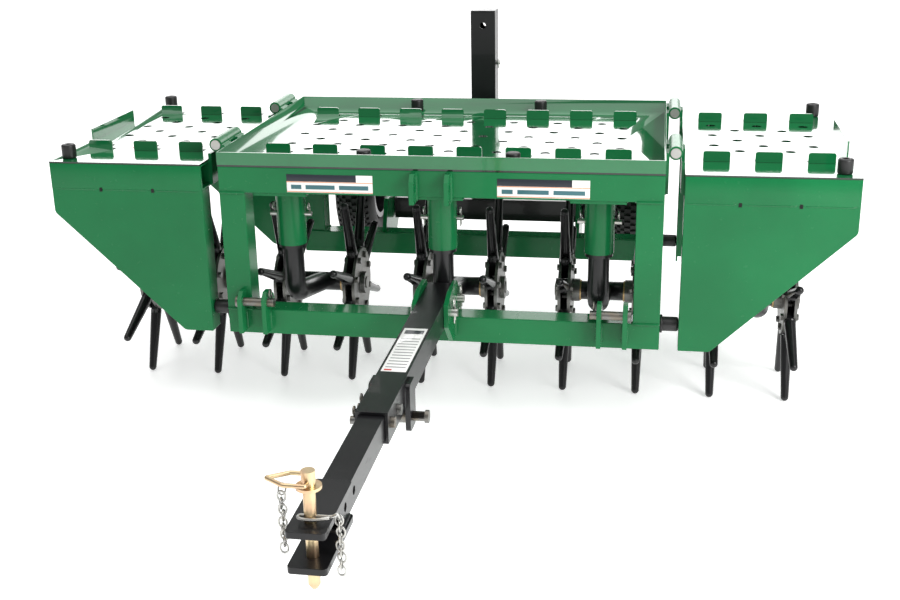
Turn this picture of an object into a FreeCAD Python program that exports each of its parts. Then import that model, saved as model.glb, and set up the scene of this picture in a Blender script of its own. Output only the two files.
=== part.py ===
import FreeCAD
import Part
import os
import re
from Sketcher import Constraint

# Core aerator: a centre frame with two hinged wings, five caster heads with two tine wheels each,
# a telescoping draw tube with a pin hitch, and a lever that lowers two transport wheels.
# Model axes: X to the right, Y towards the rear, Z up. While modelling, the zero point is the middle
# of the tray's front top edge; every finished node is then moved by bed_shift and bed_lift, so that
# the origin ends up on the ground, at the middle of the machine's length and width.

doc = FreeCAD.newDocument("core_aerator")
Vector = FreeCAD.Vector
Rotation = FreeCAD.Rotation
Placement = FreeCAD.Placement

SIZES = [
    ("frame_width", 850, "outside width of the centre frame"),
    ("frame_depth", 614, "front to rear over the frame and the wings"),
    ("frame_drop", 367, "tray lip top down to the underside of the lower rails"),
    ("tube", 50.8, "square frame tube, outside"),
    ("tube_wall", 4, "frame tube wall"),
    ("sheet", 3, "tray and deck sheet"),
    ("lip", 25, "height of the tray lips above the deck"),
    ("wing_gap", 35, "gap between the centre frame and a wing"),
    ("wing_width", 310, "width of a wing"),
    ("skirt", 4, "skirt plate thickness"),
    ("skirt_edge", 100, "height of the skirt at the outer end"),
    ("skirt_foot", 59, "length of the skirt's bottom edge"),
    ("skirt_flange", 40, "depth of the folded flange at the wing's inner edge"),
    ("skirt_corner", 14, "rounding of the skirt's lower corners"),
    ("lip_length", 215, "length of the upturned lip on the wing's outer edge"),
    ("head_pitch", 304.8, "spacing of the caster heads"),
    ("socket_back", 72, "caster swivel axis behind the front face"),
    ("socket_radius", 29, "caster socket tube, outside radius"),
    ("socket_length", 112, "caster socket tube length"),
    ("socket_plate", 6, "thickness of the plate over a socket"),
    ("socket_plate_width", 104, "width of the plate over a socket"),
    ("stem_radius", 20.6, "caster stem and arm tube, outside radius"),
    ("stem_wall", 5, "caster arm tube wall"),
    ("stem_play", 0.06, "radial play of the stem in its socket"),
    ("collar_radius", 27, "thrust collar radius"),
    ("collar_height", 7, "thrust collar height"),
    ("rest_gap", 0.3, "gap between faces that rest on each other"),
    ("elbow_radius", 34, "bend radius of the caster arm's elbow"),
    ("arm_slope", 12, "fall of the caster arm towards the axle in degrees"),
    ("axle_back", 276, "tine axle behind the front face"),
    ("axle_drop", 345, "tine axle below the tray lip top"),
    ("swivel", 6, "caster swivel each way in degrees"),
    ("socket_pin_radius", 5, "socket cross pin radius"),
    ("socket_pin_drop", 52, "socket cross pin below the socket plate"),
    ("axle_radius", 12.7, "tine axle shaft radius"),
    ("axle_play", 0.05, "radial play of the shaft in its bushes"),
    ("bush_wall", 3, "axle bush wall"),
    ("bush_flange", 3, "axle bush flange thickness"),
    ("sleeve_radius", 19.7, "axle sleeve outside radius"),
    ("sleeve_half", 44, "half length of the axle sleeve"),
    ("wheel_half", 76.2, "tine wheel plane from the head's middle"),
    ("spoon_count", 8, "spoons on a tine wheel"),
    ("tine_radius", 214, "tine wheel radius at the spoon tips"),
    ("tip_radius", 8, "spoon tip radius"),
    ("spoon_radius", 12, "spoon radius at its root"),
    ("spoon_root", 70, "spoon root from the axle"),
    ("scoop_radius", 7.5, "radius of the spoon's scoop"),
    ("scoop_offset", 8, "scoop axis behind the spoon axis"),
    ("disc_radius", 76, "tine plate radius"),
    ("disc_thick", 6, "tine plate thickness"),
    ("disc_gap", 14, "gap between the two plates of a tine wheel"),
    ("hub_radius", 24, "tine wheel hub radius"),
    ("bolt_radius", 4, "tine bolt radius"),
    ("bolt_circle", 61, "tine bolt circle radius"),
    ("bolt_head", 7, "tine bolt head radius"),
    ("bolt_head_height", 5, "tine bolt head height"),
    ("tab_width", 50, "width of a bent-up tab"),
    ("tab_height", 20, "height of a bent-up tab"),
    ("tab_corner", 5, "rounding of a tab's upper corners"),
    ("tab_pitch", 96, "spacing of the tabs and of the holes in a row"),
    ("tab_row", 195, "tab rows from the deck's middle"),
    ("hole_radius", 10, "deck hole radius"),
    ("hole_row", 50, "spacing of the deck hole rows"),
    ("hinge_inset", 50, "hinges from the front and rear faces"),
    ("hinge_length", 120, "length of a hinge"),
    ("hinge_radius", 13, "hinge knuckle radius"),
    ("hinge_height", 3, "hinge axis above the tray lip top"),
    ("hinge_pin_radius", 9.5, "hinge pin radius"),
    ("hinge_play", 0.05, "radial play of the hinge pin"),
    ("leaf", 6, "hinge leaf thickness"),
    ("leaf_bottom", 75, "hinge leaf's lower edge below the lip top"),
    ("leaf_top", 14, "hinge leaf's upper edge below the lip top"),
    ("bumper_radius", 14, "rubber bumper radius"),
    ("bumper_height", 28, "wing bumper height above the deck"),
    ("bumper_inset", 34, "bumpers from the front and rear faces"),
    ("bumper_edge", 28, "wing bumper axis from the wing's outer edge"),
    ("side_bumper_drop", 322, "side bumper axis below the lip top"),
    ("ear", 9, "thickness of the ears"),
    ("ear_pin_radius", 8.5, "pins through the lower ears"),
    ("ear_pin_play", 0.1, "radial play of fixed pins in ears"),
    ("link_spread", 49, "spacing of the lower ears' mid planes"),
    ("link_left", 366, "middle of the left lower ears"),
    ("link_right", 336, "middle of the right lower ears"),
    ("link_reach", 30, "lower ears in front of the rail"),
    ("top_ear_left", 40, "left upper ear from the middle"),
    ("top_ear_right", 26, "right upper ear from the middle"),
    ("top_ear_reach", 32, "upper ears in front of the rail"),
    ("top_ear_hole", 8, "hole radius in the upper ears"),
    ("draw_tube", 50.8, "outer draw tube, outside"),
    ("draw_wall", 4.8, "outer draw tube wall"),
    ("draw_drop", 262, "draw tube top below the tray lip top"),
    ("draw_front", 575, "draw tube mouth in front of the frame"),
    ("draw_rear", 44, "draw tube rear end behind the front face"),
    ("inner_tube", 40, "inner draw tube, outside"),
    ("inner_wall", 4, "inner draw tube wall"),
    ("inner_front", 850, "inner tube front end in front of the frame"),
    ("inner_rear", 300, "inner tube rear end in front of the frame"),
    ("draw_ear_gap", 0.5, "gap between the draw tube and its ears"),
    ("draw_pin_radius", 8, "pins through the draw tube"),
    ("clevis_plate", 9.5, "hitch clevis plate thickness"),
    ("clevis_half", 26, "half width of the hitch clevis plates"),
    ("clevis_front", 943, "front edge of the clevis plates"),
    ("clevis_rear", 800, "rear edge of the clevis plates"),
    ("hitch_back", 912, "hitch pin axis in front of the frame"),
    ("hitch_pin_radius", 8, "hitch pin radius"),
    ("hitch_pin_play", 0.1, "radial play of the hitch pin in the clevis"),
    ("hitch_pin_tip", 36, "hitch pin below the lower clevis plate"),
    ("hitch_flange_rise", 46, "hitch pin flange above the upper clevis plate"),
    ("hitch_flange_radius", 16.5, "hitch pin flange radius"),
    ("hitch_head_radius", 9, "hitch pin head radius"),
    ("hitch_head_height", 20, "hitch pin head height"),
    ("handle_wire", 3, "wire radius of the hitch pin handle"),
    ("handle_play", 0.1, "radial play of the handle in the pin's head"),
    ("handle_half", 17, "half width of the hitch pin handle"),
    ("handle_arm", 28, "straight arms of the hitch pin handle"),
    ("handle_reach", 54, "hitch pin handle reach"),
    ("clip_wire", 1.6, "wire radius of the hairpin clips"),
    ("link_wire", 1.2, "wire radius of the chain links"),
    ("link_ring", 6, "mean radius of the chain links"),
    ("stand_back", 428, "stand pin in front of the frame"),
    ("stand_drop", 332, "stand pin below the tray lip top"),
    ("stand_pin_radius", 8, "stand pin radius"),
    ("stand_strap", 8.5, "stand strap thickness"),
    ("stand_strap_width", 44, "stand strap width"),
    ("lift_behind", 76, "rockshaft axis behind the frame's rear face"),
    ("lift_drop", 280, "rockshaft axis below the tray lip top"),
    ("lift_half", 222, "half length of the rockshaft's square tube"),
    ("lift_tube", 50.8, "rockshaft square tube, outside"),
    ("stub_radius", 19, "rockshaft stub radius"),
    ("stub_wall", 5, "rockshaft square tube wall"),
    ("stub_play", 0.06, "radial play of the stubs in the brackets"),
    ("lift_arm", 205, "rockshaft axis to the wheel axle"),
    ("lift_arm_plate", 12, "wheel arm thickness"),
    ("bracket", 10, "pivot bracket thickness"),
    ("bracket_gap", 3, "gap between the rockshaft's parts and a bracket"),
    ("lever_width", 57, "lever tube width"),
    ("lever_wall", 4, "lever tube wall"),
    ("lever_top", 190, "lever top above the tray lip top"),
    ("lever_hole", 7, "hole radius near the lever's top"),
    ("lever_hole_below", 30, "hole below the lever's top"),
    ("wheel_out", 350, "transport wheel plane from the middle"),
    ("tyre_radius", 160, "tyre radius"),
    ("tyre_half", 50, "half width of the tyre"),
    ("tyre_wall", 10, "tyre carcass thickness"),
    ("rim_radius", 78, "rim radius at the tyre's bead"),
    ("rim_flange", 9, "height of the rim's flanges"),
    ("rim_wall", 4, "rim wall"),
    ("rim_half", 42, "half width of the rim"),
    ("stub_axle_radius", 9.5, "transport wheel axle radius"),
    ("wheel_play", 0.08, "radial play of the wheel hub on its axle"),
    ("wheel_hub_radius", 20, "transport wheel hub radius"),
    ("wheel_hub_half", 40, "half length of the transport wheel hub"),
]

sheet = doc.addObject("Spreadsheet::Sheet", "sizes")
for row, (alias, value, note) in enumerate(SIZES, start=1):
    sheet.set("A%d" % row, alias)
    sheet.set("B%d" % row, str(value))
    sheet.set("C%d" % row, note)
    sheet.setAlias("B%d" % row, alias)
doc.recompute()

ALIASES = {alias for alias, value, note in SIZES}
WORD = re.compile(r"[a-z_][a-z_0-9]*")

# Sizes worked out from others, written once and used by name inside the expressions.
DERIVED = {
    "half_width": "(frame_width / 2)",
    "hinge_at": "(frame_width / 2 + wing_gap / 2)",
    "wing_in": "(frame_width / 2 + wing_gap)",
    "wing_out": "(frame_width / 2 + wing_gap + wing_width)",
    "rail_top": "(-lip - sheet)",
    "rail_under": "(-lip - sheet - tube)",
    "low_top": "(-frame_drop + tube)",
    "socket_top": "(-lip - sheet - tube - socket_plate)",
    "socket_end": "(-lip - sheet - tube - socket_plate - socket_length)",
    "arm_length": "((axle_back - socket_back - elbow_radius * (1 - sin(arm_slope))) / cos(arm_slope))",
    "elbow_level": "(-axle_drop + elbow_radius * cos(arm_slope) + ((axle_back - socket_back"
                   " - elbow_radius * (1 - sin(arm_slope))) / cos(arm_slope)) * sin(arm_slope))",
    "pin_level": "(-lip - sheet - tube - socket_plate - socket_pin_drop)",
    "draw_axis": "(-draw_drop - draw_tube / 2)",
    "inner_top": "(-draw_drop - draw_tube / 2 + inner_tube / 2)",
    "inner_low": "(-draw_drop - draw_tube / 2 - inner_tube / 2)",
    "flange_at": "(-draw_drop - draw_tube / 2 + inner_tube / 2 + clevis_plate + hitch_flange_rise)",
    "deck_middle": "(frame_depth / 2)",
    "stub_reach": "(lift_half + bracket + 2 * bracket_gap + lift_arm_plate)",
    "ground_drop": "((tine_radius - tip_radius) * cos(180 / spoon_count) + tip_radius + axle_drop)",
    "bed_shift": "((clevis_front - lift_back - lift_arm - tyre_radius) / 2)",
    "lift_back": "(frame_depth + lift_behind)",
}


def spell(text):
    """Write an expression out in sheet cells."""
    text = str(text)
    for name in DERIVED:
        text = re.sub(r"\b%s\b" % name, DERIVED[name], text)
    return WORD.sub(lambda w: "sizes." + w.group(0) if w.group(0) in ALIASES else w.group(0), text)


def number(alias):
    """A sheet cell as a plain number, for the shapes that Part's own functions make."""
    return float(sheet.get(alias))


def bind(thing, **places):
    """Bind properties to expressions."""
    for place, text in places.items():
        thing.setExpression(place.replace("__", "."), spell(text))
    return thing


def at(thing, x, y, z):
    """Bind a placement's base to three expressions."""
    return bind(thing, Placement__Base__x=x, Placement__Base__y=y, Placement__Base__z=z)


def block(name, x, y, z):
    """A box given by its two faces along each axis."""
    box = doc.addObject("Part::Box", name)
    bind(box, Length="(%s) - (%s)" % (x[1], x[0]))
    bind(box, Width="(%s) - (%s)" % (y[1], y[0]))
    bind(box, Height="(%s) - (%s)" % (z[1], z[0]))
    return at(box, x[0], y[0], z[0])


TURN = {
    "X": Rotation(Vector(0, 1, 0), 90),
    "Y": Rotation(Vector(1, 0, 0), -90),
    "Z": Rotation(),
}


def bar(name, radius, axis, span, across):
    """A round bar along an axis, between two places, at the two other coordinates."""
    cylinder = doc.addObject("Part::Cylinder", name)
    cylinder.Placement = Placement(Vector(), TURN[axis])
    bind(cylinder, Radius=radius, Height="(%s) - (%s)" % (span[1], span[0]))
    base = {"X": (span[0], *across), "Y": (across[0], span[0], across[1]), "Z": (*across, span[0])}[axis]
    return at(cylinder, *base)


def fuse(name, pieces):
    joined = doc.addObject("Part::MultiFuse", name)
    joined.Shapes = pieces
    return joined


def cut(name, base, tools):
    """Take one or more tools away from a base."""
    tool = tools[0] if len(tools) == 1 else fuse(name + "_tools", tools)
    result = doc.addObject("Part::Cut", name)
    result.Base = base
    result.Tool = tool
    return result


def pipe(name, outer, inner, axis, span, across):
    """A round tube."""
    return cut(name, bar(name + "_outer", outer, axis, span, across),
               [bar(name + "_bore", inner, axis, (span[0] + " - 1", span[1] + " + 1"), across)])


def square_tube(name, axis, x, y, z, wall):
    """A square tube that is open at both ends, given by its outer faces."""
    faces = {"X": list(x), "Y": list(y), "Z": list(z)}
    inner = {}
    for key, (low, high) in faces.items():
        along = key == axis
        inner[key] = ("%s - %s" % (low, 1 if along else "-(%s)" % wall),
                      "%s + %s" % (high, 1 if along else "-(%s)" % wall))
    return cut(name, block(name + "_outer", x, y, z),
               [block(name + "_hollow", inner["X"], inner["Y"], inner["Z"])])


PLANES = {"XZ": "XZ_Plane", "YZ": "YZ_Plane", "XY": "XY_Plane"}


def plate(name, plane, outline, start, thickness, corners=(), corner_radius=None):
    """A flat plate: a padded sketch whose corner points are bound to the sheet.

    start is the plate's lower face along the plane's normal axis, and corners are the numbers of the
    outline points that are rounded.
    """
    body = doc.addObject("PartDesign::Body", name)
    origin = next(f for f in body.Origin.OriginFeatures if f.Role == PLANES[plane])
    sketch = body.newObject("Sketcher::SketchObject", name + "_sketch")
    sketch.AttachmentSupport = [(origin, "")]
    sketch.MapMode = "FlatFace"
    count = len(outline)
    spots = [Vector(100 * (i % 3) + 10 * i, 70 * (i // 3) + 5 * i, 0) for i in range(count)]
    for i in range(count):
        sketch.addGeometry(Part.LineSegment(spots[i], spots[(i + 1) % count]), False)
    for i in range(count):
        sketch.addConstraint(Constraint("Coincident", i, 2, (i + 1) % count, 1))
    for i, (across, up) in enumerate(outline):
        for kind, text, guess in (("DistanceX", across, 1.0 + i), ("DistanceY", up, 1.0 + i)):
            place = sketch.addConstraint(Constraint(kind, -1, 1, i, 1, guess))
            sketch.setExpression("Constraints[%d]" % place, spell(text))
    pad = body.newObject("PartDesign::Pad", name + "_pad")
    pad.Profile = sketch
    pad.Reversed = plane == "XZ"
    bind(pad, Length=thickness)
    doc.recompute()
    if corners:
        points = [sketch.Geometry[i].StartPoint for i in corners]
        edges = []
        for number_, edge in enumerate(pad.Shape.Edges, start=1):
            ends = [sketch.Placement.inverse().multVec(v.Point) for v in edge.Vertexes]
            if len(ends) == 2 and (ends[0] - ends[1]).cross(Vector(0, 0, 1)).Length < 1e-6:
                if any(((ends[0].x - p.x) ** 2 + (ends[0].y - p.y) ** 2) < 1e-6 for p in points):
                    edges.append("Edge%d" % number_)
        fillet = body.newObject("PartDesign::Fillet", name + "_fillet")
        fillet.Base = (pad, edges)
        bind(fillet, Radius=corner_radius)
        body.Tip = fillet
    base = {"XZ": (0, start, 0), "YZ": (start, 0, 0), "XY": (0, 0, start)}[plane]
    return at(body, *base)


def cylinder_between(start, end, radius):
    """A round bar between two points, with ball ends so that bent wire stays one solid."""
    line = end - start
    shape = Part.makeCylinder(radius, line.Length, start, line)
    return shape.fuse([Part.makeSphere(radius, start), Part.makeSphere(radius, end)])


def bent_wire(points, radius):
    """Wire bent through a list of points."""
    runs = [cylinder_between(a, b, radius) for a, b in zip(points, points[1:])]
    shape = runs[0].fuse(runs[1:]) if len(runs) > 1 else runs[0]
    return shape.removeSplitter()


NODES = []


def node(name, pieces):
    """One finished sub-part: its separate solids as a compound, moved onto the ground."""
    group = doc.addObject("Part::Compound", name)
    group.Label = name
    group.Links = pieces
    at(group, 0, "bed_shift", "ground_drop")
    NODES.append(group)
    return group


SIDES = (("left", -1), ("right", 1))


def ends(side, near, far):
    """The two faces of something between near and far from the middle, on one side, low one first."""
    if side > 0:
        return ("%s" % near, "%s" % far)
    return ("-(%s)" % far, "-(%s)" % near)


# ---------------------------------------------------------------- centre frame
def centre_frame():
    levels = {"top": ("rail_under", "rail_top"), "low": ("-frame_drop", "low_top")}
    rows = {"front": ("0", "tube"), "rear": ("frame_depth - tube", "frame_depth")}
    tubes = []
    for level, z in levels.items():
        for row, y in rows.items():
            tubes.append(square_tube("rail_%s_%s" % (level, row), "X", ("-half_width", "half_width"), y, z,
                                     "tube_wall"))
    for side_name, side in SIDES:
        x = ends(side, "half_width - tube", "half_width")
        for row, y in rows.items():
            tubes.append(square_tube("post_%s_%s" % (side_name, row), "Z", x, y, ("low_top", "rail_under"),
                                     "tube_wall"))
        tubes.append(square_tube("side_rail_" + side_name, "Y", x, ("tube", "frame_depth - tube"),
                                 levels["top"], "tube_wall"))
    node("centre_frame", tubes)


def tab(name, middle, row):
    left = middle + " - tab_width / 2"
    right = middle + " + tab_width / 2"
    outline = [(left, "-lip - sheet / 2"), (right, "-lip - sheet / 2"), (right, "-lip + tab_height"),
               (left, "-lip + tab_height")]
    return plate(name, "XZ", outline, row, "sheet", (2, 3), "tab_corner")


def window(name, middle, row):
    return block(name, (middle + " - tab_width / 2", middle + " + tab_width / 2"),
                 (row + " + sheet", row + " + sheet + tab_height"), ("-lip - 2 * sheet", "-lip + sheet"))


def hole(name, middle, row):
    return bar(name, "hole_radius", "Z", ("-lip - 2 * sheet", "-lip + sheet"), (middle, row))


def deck(prefix, base, middles, columns):
    """Cut the windows and the staggered holes, and add the bent-up tabs."""
    cuts = []
    tabs = []
    for row_name, row in (("front", "deck_middle - tab_row"), ("rear", "deck_middle + tab_row")):
        for i, middle in enumerate(middles):
            cuts.append(window("%s_window_%s_%d" % (prefix, row_name, i), middle, row))
            tabs.append(tab("%s_tab_%s_%d" % (prefix, row_name, i), middle, row))
    for step in range(-3, 4):
        for i, middle in enumerate(columns[step % 2]):
            cuts.append(hole("%s_hole_%d_%d" % (prefix, step + 3, i), middle,
                             "deck_middle + %d * hole_row" % step))
    return fuse(prefix + "_sheet", [cut(prefix + "_cut", base, cuts)] + tabs)


def centre_tray():
    outer = block("tray_outer", ("-half_width", "half_width"), ("0", "frame_depth"), ("-lip - sheet", "0"))
    inner = block("tray_inner", ("-half_width + sheet", "half_width - sheet"),
                  ("sheet", "frame_depth - sheet"),
                  ("-lip", "1"))
    middles = ["%g * tab_pitch" % (i - 3.5) for i in range(8)]
    in_line = ["%g * tab_pitch" % (i - 3.5) for i in range(8)]
    between = ["%d * tab_pitch" % i for i in range(-3, 4)]
    node("centre_tray", [deck("tray", cut("tray_shell", outer, [inner]), middles, [in_line, between])])


def socket(name, middle):
    """A caster socket: a round tube under a plate, with a cross hole for its pin."""
    tube_ = pipe(name + "_tube", "socket_radius", "stem_radius + stem_play", "Z",
                 ("socket_end", "socket_top"),
                 (middle, "socket_back"))
    top = block(name + "_plate", ("%s - socket_plate_width / 2" % middle,
                                  "%s + socket_plate_width / 2" % middle),
                ("4", "socket_back + socket_radius + 12"), ("socket_top", "socket_top + socket_plate"))
    pin_hole = bar(name + "_pin_hole", "socket_pin_radius", "X",
                   ("%s - socket_radius - 1" % middle, "%s + socket_radius + 1" % middle),
                   ("socket_back", "pin_level"))
    return [cut(name + "_drilled", tube_, [pin_hole]), top]


def hairpin(name, eye, axis, size):
    """A hairpin clip that stands in a pin's end: a ring above and two legs below the cross hole."""
    wire = number("clip_wire")
    side = Vector(0, 1, 0) if axis == "X" else Vector(1, 0, 0)
    up = Vector(0, 0, 1)
    ring = Part.makeTorus(size * 0.42, wire, eye + up * size * 1.15, Vector(1, 0, 0) if axis == "X" else
                          Vector(0, 1, 0))
    leg = Part.makeCylinder(wire, size * 2.1, eye - up * size * 1.3, up)
    foot = eye + side * size * 0.62 - up * size * 1.1
    bent = bent_wire([eye + side * size * 0.42 + up * size * 1.1, eye + side * size * 0.62 + up * size * 0.3,
                      foot], wire)
    feature = doc.addObject("Part::Feature", name)
    feature.Shape = ring.fuse([leg, bent]).removeSplitter()
    return feature


def cross_pin(name, radius, span, across, wire_ends, head=None):
    """A pin along X with a cross hole and a hairpin clip near each end that has one."""
    pieces = [bar(name + "_shank", radius, "X", span, across)]
    if head:
        pieces.append(bar(name + "_head", "%s * 1.35" % radius, "X", head, across))
    shank = fuse(name + "_headed", pieces) if head else pieces[0]
    holes = [bar("%s_eye_%d" % (name, i), "clip_wire + rest_gap", "Z",
                 ("%s - 2 * %s" % (across[1], radius), "%s + 2 * %s" % (across[1], radius)), (x, across[0]))
             for i, x in enumerate(wire_ends)]
    return cut(name, shank, holes) if holes else shank


def clip_at(name, x, y, z, size):
    """A hairpin clip at places given as expressions."""
    doc.recompute()
    probe = doc.addObject("Part::Vertex", name + "_place")
    bind(probe, X=x, Y=y, Z=z)
    doc.recompute()
    spot = Vector(probe.X.Value, probe.Y.Value, probe.Z.Value)
    doc.removeObject(probe.Name)
    return hairpin(name, spot, "X", size)


def socket_pin(name, middle):
    reach = "socket_radius + 13"
    eye = "socket_radius + 7"
    pin = cross_pin(name, "socket_pin_radius - ear_pin_play", ("%s - (%s)" % (middle, reach),
                    "%s + (%s)" % (middle, reach)), ("socket_back", "pin_level"),
                    ["%s - (%s)" % (middle, eye), "%s + (%s)" % (middle, eye)])
    clips = [clip_at("%s_clip_%d" % (name, i), "%s %s (%s)" % (middle, sign, eye), "socket_back",
                     "pin_level", 13)
             for i, sign in enumerate("-+")]
    return [pin] + clips


def centre_sockets():
    sockets = []
    pins = []
    for i in (-1, 0, 1):
        middle = "%d * head_pitch" % i
        sockets += socket("socket_%d" % (i + 3), middle)
        pins += socket_pin("socket_pin_%d" % (i + 3), middle)
    node("caster_sockets", sockets)
    node("socket_pins", pins)


def bumpers():
    pads = []
    for side_name, side in SIDES:
        x = "%d * (2 * hinge_at - wing_out + bumper_edge)" % -side
        for row, y in (("front", "bumper_inset"), ("rear", "frame_depth - bumper_inset")):
            pads.append(bar("tray_bumper_%s_%s" % (side_name, row), "bumper_radius", "Z",
                            ("-lip", "2 * hinge_height + lip - bumper_height - rest_gap"), (x, y)))
    node("tray_bumpers", pads)
    blocks = []
    for side_name, side in SIDES:
        x = ends(side, "half_width", "wing_in - rest_gap")
        for row, y in (("front", "tube / 2"), ("rear", "frame_depth - tube / 2")):
            blocks.append(bar("side_bumper_%s_%s" % (side_name, row), "bumper_radius", "X", x,
                              (y, "-side_bumper_drop")))
    node("side_bumpers", blocks)


# ---------------------------------------------------------------- ears and pins
def top_link_ears():
    ears = []
    for side_name, x in (("left", "-top_ear_left"), ("right", "top_ear_right")):
        outline = [("0", "rail_top - 2"), ("-top_ear_reach * 0.6", "rail_top - 2"),
                   ("-top_ear_reach", "rail_top - 2 - top_ear_reach * 0.4"),
                   ("-top_ear_reach", "rail_under - 8"), ("0", "rail_under - 8")]
        ear = plate("top_ear_" + side_name, "YZ", outline, "%s - ear / 2" % x, "ear")
        pin_hole = bar("top_ear_hole_" + side_name, "top_ear_hole", "X", ("%s - ear" % x, "%s + ear" % x),
                       ("-top_ear_reach / 2", "rail_under + tube / 2 - 4"))
        ears.append(cut("top_ear_drilled_" + side_name, ear, [pin_hole]))
    node("top_link_ears", ears)


def lower_link_ears():
    ears = []
    pins = []
    for side_name, middle in (("left", "-link_left"), ("right", "link_right")):
        pin_y = "-link_reach / 2 + 1"
        pin_z = "low_top + 20"
        for i in (-1, 1):
            x = "(%s + %g * link_spread)" % (middle, i / 2)
            outline = [("-link_reach * 0.5", "low_top + 42"), ("-link_reach", "low_top + 28"),
                       ("-link_reach", "-frame_drop + 9"), ("0", "-frame_drop + 9")]
            if side_name == "left" and i < 0:
                outline += [("0", "low_top + 42")]
            else:
                outline += [("0", "low_top"), ("tube * 0.7", "low_top"), ("tube * 0.5", "low_top + 26"),
                            ("4", "low_top + 42")]
            ear = plate("link_ear_%s_%d" % (side_name, i + 1), "YZ", outline, "%s - ear / 2" % x, "ear")
            drill = bar("link_hole_%s_%d" % (side_name, i + 1), "ear_pin_radius + ear_pin_play", "X",
                        ("%s - ear" % x, "%s + ear" % x), (pin_y, pin_z))
            ears.append(cut("link_ear_drilled_%s_%d" % (side_name, i + 1), ear, [drill]))
        inner = 1 if side_name == "left" else -1
        eye = "(%s + %d * (link_spread / 2 + ear / 2 + 6))" % (middle, inner)
        far = "(link_spread / 2 + ear / 2 + 13)"
        near = "(link_spread / 2 + ear / 2)"
        span = (middle + " - " + near, middle + " + " + far)
        head = (middle + " - %s - 6" % near, middle + " - " + near)
        if inner < 0:
            span = (middle + " - " + far, middle + " + " + near)
            head = (middle + " + " + near, middle + " + %s + 6" % near)
        pins.append(cross_pin("link_pin_" + side_name, "ear_pin_radius", span, (pin_y, pin_z), [eye], head))
        pins.append(clip_at("link_clip_" + side_name, eye, pin_y, pin_z, 17))
    node("lower_link_ears", ears)
    node("lower_link_pins", pins)


def drawbar_ears():
    ears = []
    for side_name, side in SIDES:
        x = ends(side, "draw_tube / 2 + draw_ear_gap", "draw_tube / 2 + draw_ear_gap + ear")
        outline = [("0", "-frame_drop + 12"), ("0", "low_top"), ("85", "low_top"), ("85", "low_top + 8"),
                   ("26", "-draw_drop + 12"), ("-40", "-draw_drop + 12"), ("-84", "-draw_drop - 2"),
                   ("-84", "draw_axis - 20"), ("-30", "-frame_drop + 12")]
        ear = plate("draw_ear_" + side_name, "YZ", outline, x[0], "ear")
        holes = [bar("draw_ear_hole_%s_%d" % (side_name, i), "draw_pin_radius + ear_pin_play", "X",
                     ("%s - 1" % x[0], "%s + 1" % x[1]),
                     (y, "draw_axis")) for i, y in enumerate(("-52", "28"))]
        ears.append(cut("draw_ear_drilled_" + side_name, ear, holes))
    node("drawbar_ears", ears)
    pins = []
    half = "draw_tube / 2 + draw_ear_gap + ear"
    for i, y in enumerate(("-52", "28")):
        eye = "%s + 6" % half
        pins.append(cross_pin("draw_pin_%d" % i, "draw_pin_radius", ("-(%s)" % half, "%s + 13" % half),
                              (y, "draw_axis"), [eye], ("-(%s) - 6" % half, "-(%s)" % half)))
        pins.append(clip_at("draw_clip_%d" % i, eye, y, "draw_axis", 17))
    node("drawbar_pins", pins)


# ---------------------------------------------------------------- draw tube and hitch
CROSS_PINS = ("-draw_front + 24", "-draw_front + 72")


def pin_holes(name, radius, places, half, level):
    return [bar("%s_%d" % (name, i), radius, "X", ("-(%s) - 1" % half, "%s + 1" % half), (y, level))
            for i, y in enumerate(places)]


def draw_tubes():
    half = "draw_tube / 2"
    outer = square_tube("draw_outer", "Y", ("-" + half, half), ("-draw_front", "draw_rear"),
                        ("-draw_drop - draw_tube", "-draw_drop"), "draw_wall")
    holes = pin_holes("draw_outer_hole", "draw_pin_radius + ear_pin_play", ("-52", "28"), half, "draw_axis")
    holes += pin_holes("draw_cross_hole", "draw_pin_radius * 0.8 + ear_pin_play", CROSS_PINS, half,
                       "draw_axis")
    node("draw_tube_outer", [cut("draw_outer_drilled", outer, holes)])
    half = "inner_tube / 2"
    inner = square_tube("draw_inner", "Y", ("-" + half, half), ("-inner_front", "-inner_rear"),
                        ("inner_low", "inner_top"), "inner_wall")
    places = CROSS_PINS + ("-inner_front + 30", "-inner_front + 78")
    holes = pin_holes("draw_inner_hole", "draw_pin_radius * 0.8 + ear_pin_play", places, half, "draw_axis")
    node("draw_tube_inner", [cut("draw_inner_drilled", inner, holes)])
    pins = []
    half = "draw_tube / 2"
    for i, y in enumerate(CROSS_PINS):
        eye = "-(%s) - 7" % half
        pins.append(cross_pin("cross_pin_%d" % i, "draw_pin_radius * 0.8", ("-(%s) - 13" % half, half),
                              (y, "draw_axis"), [eye], (half, "%s + 6" % half)))
        pins.append(clip_at("cross_clip_%d" % i, eye, y, "draw_axis", 14))
    return pins


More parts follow.
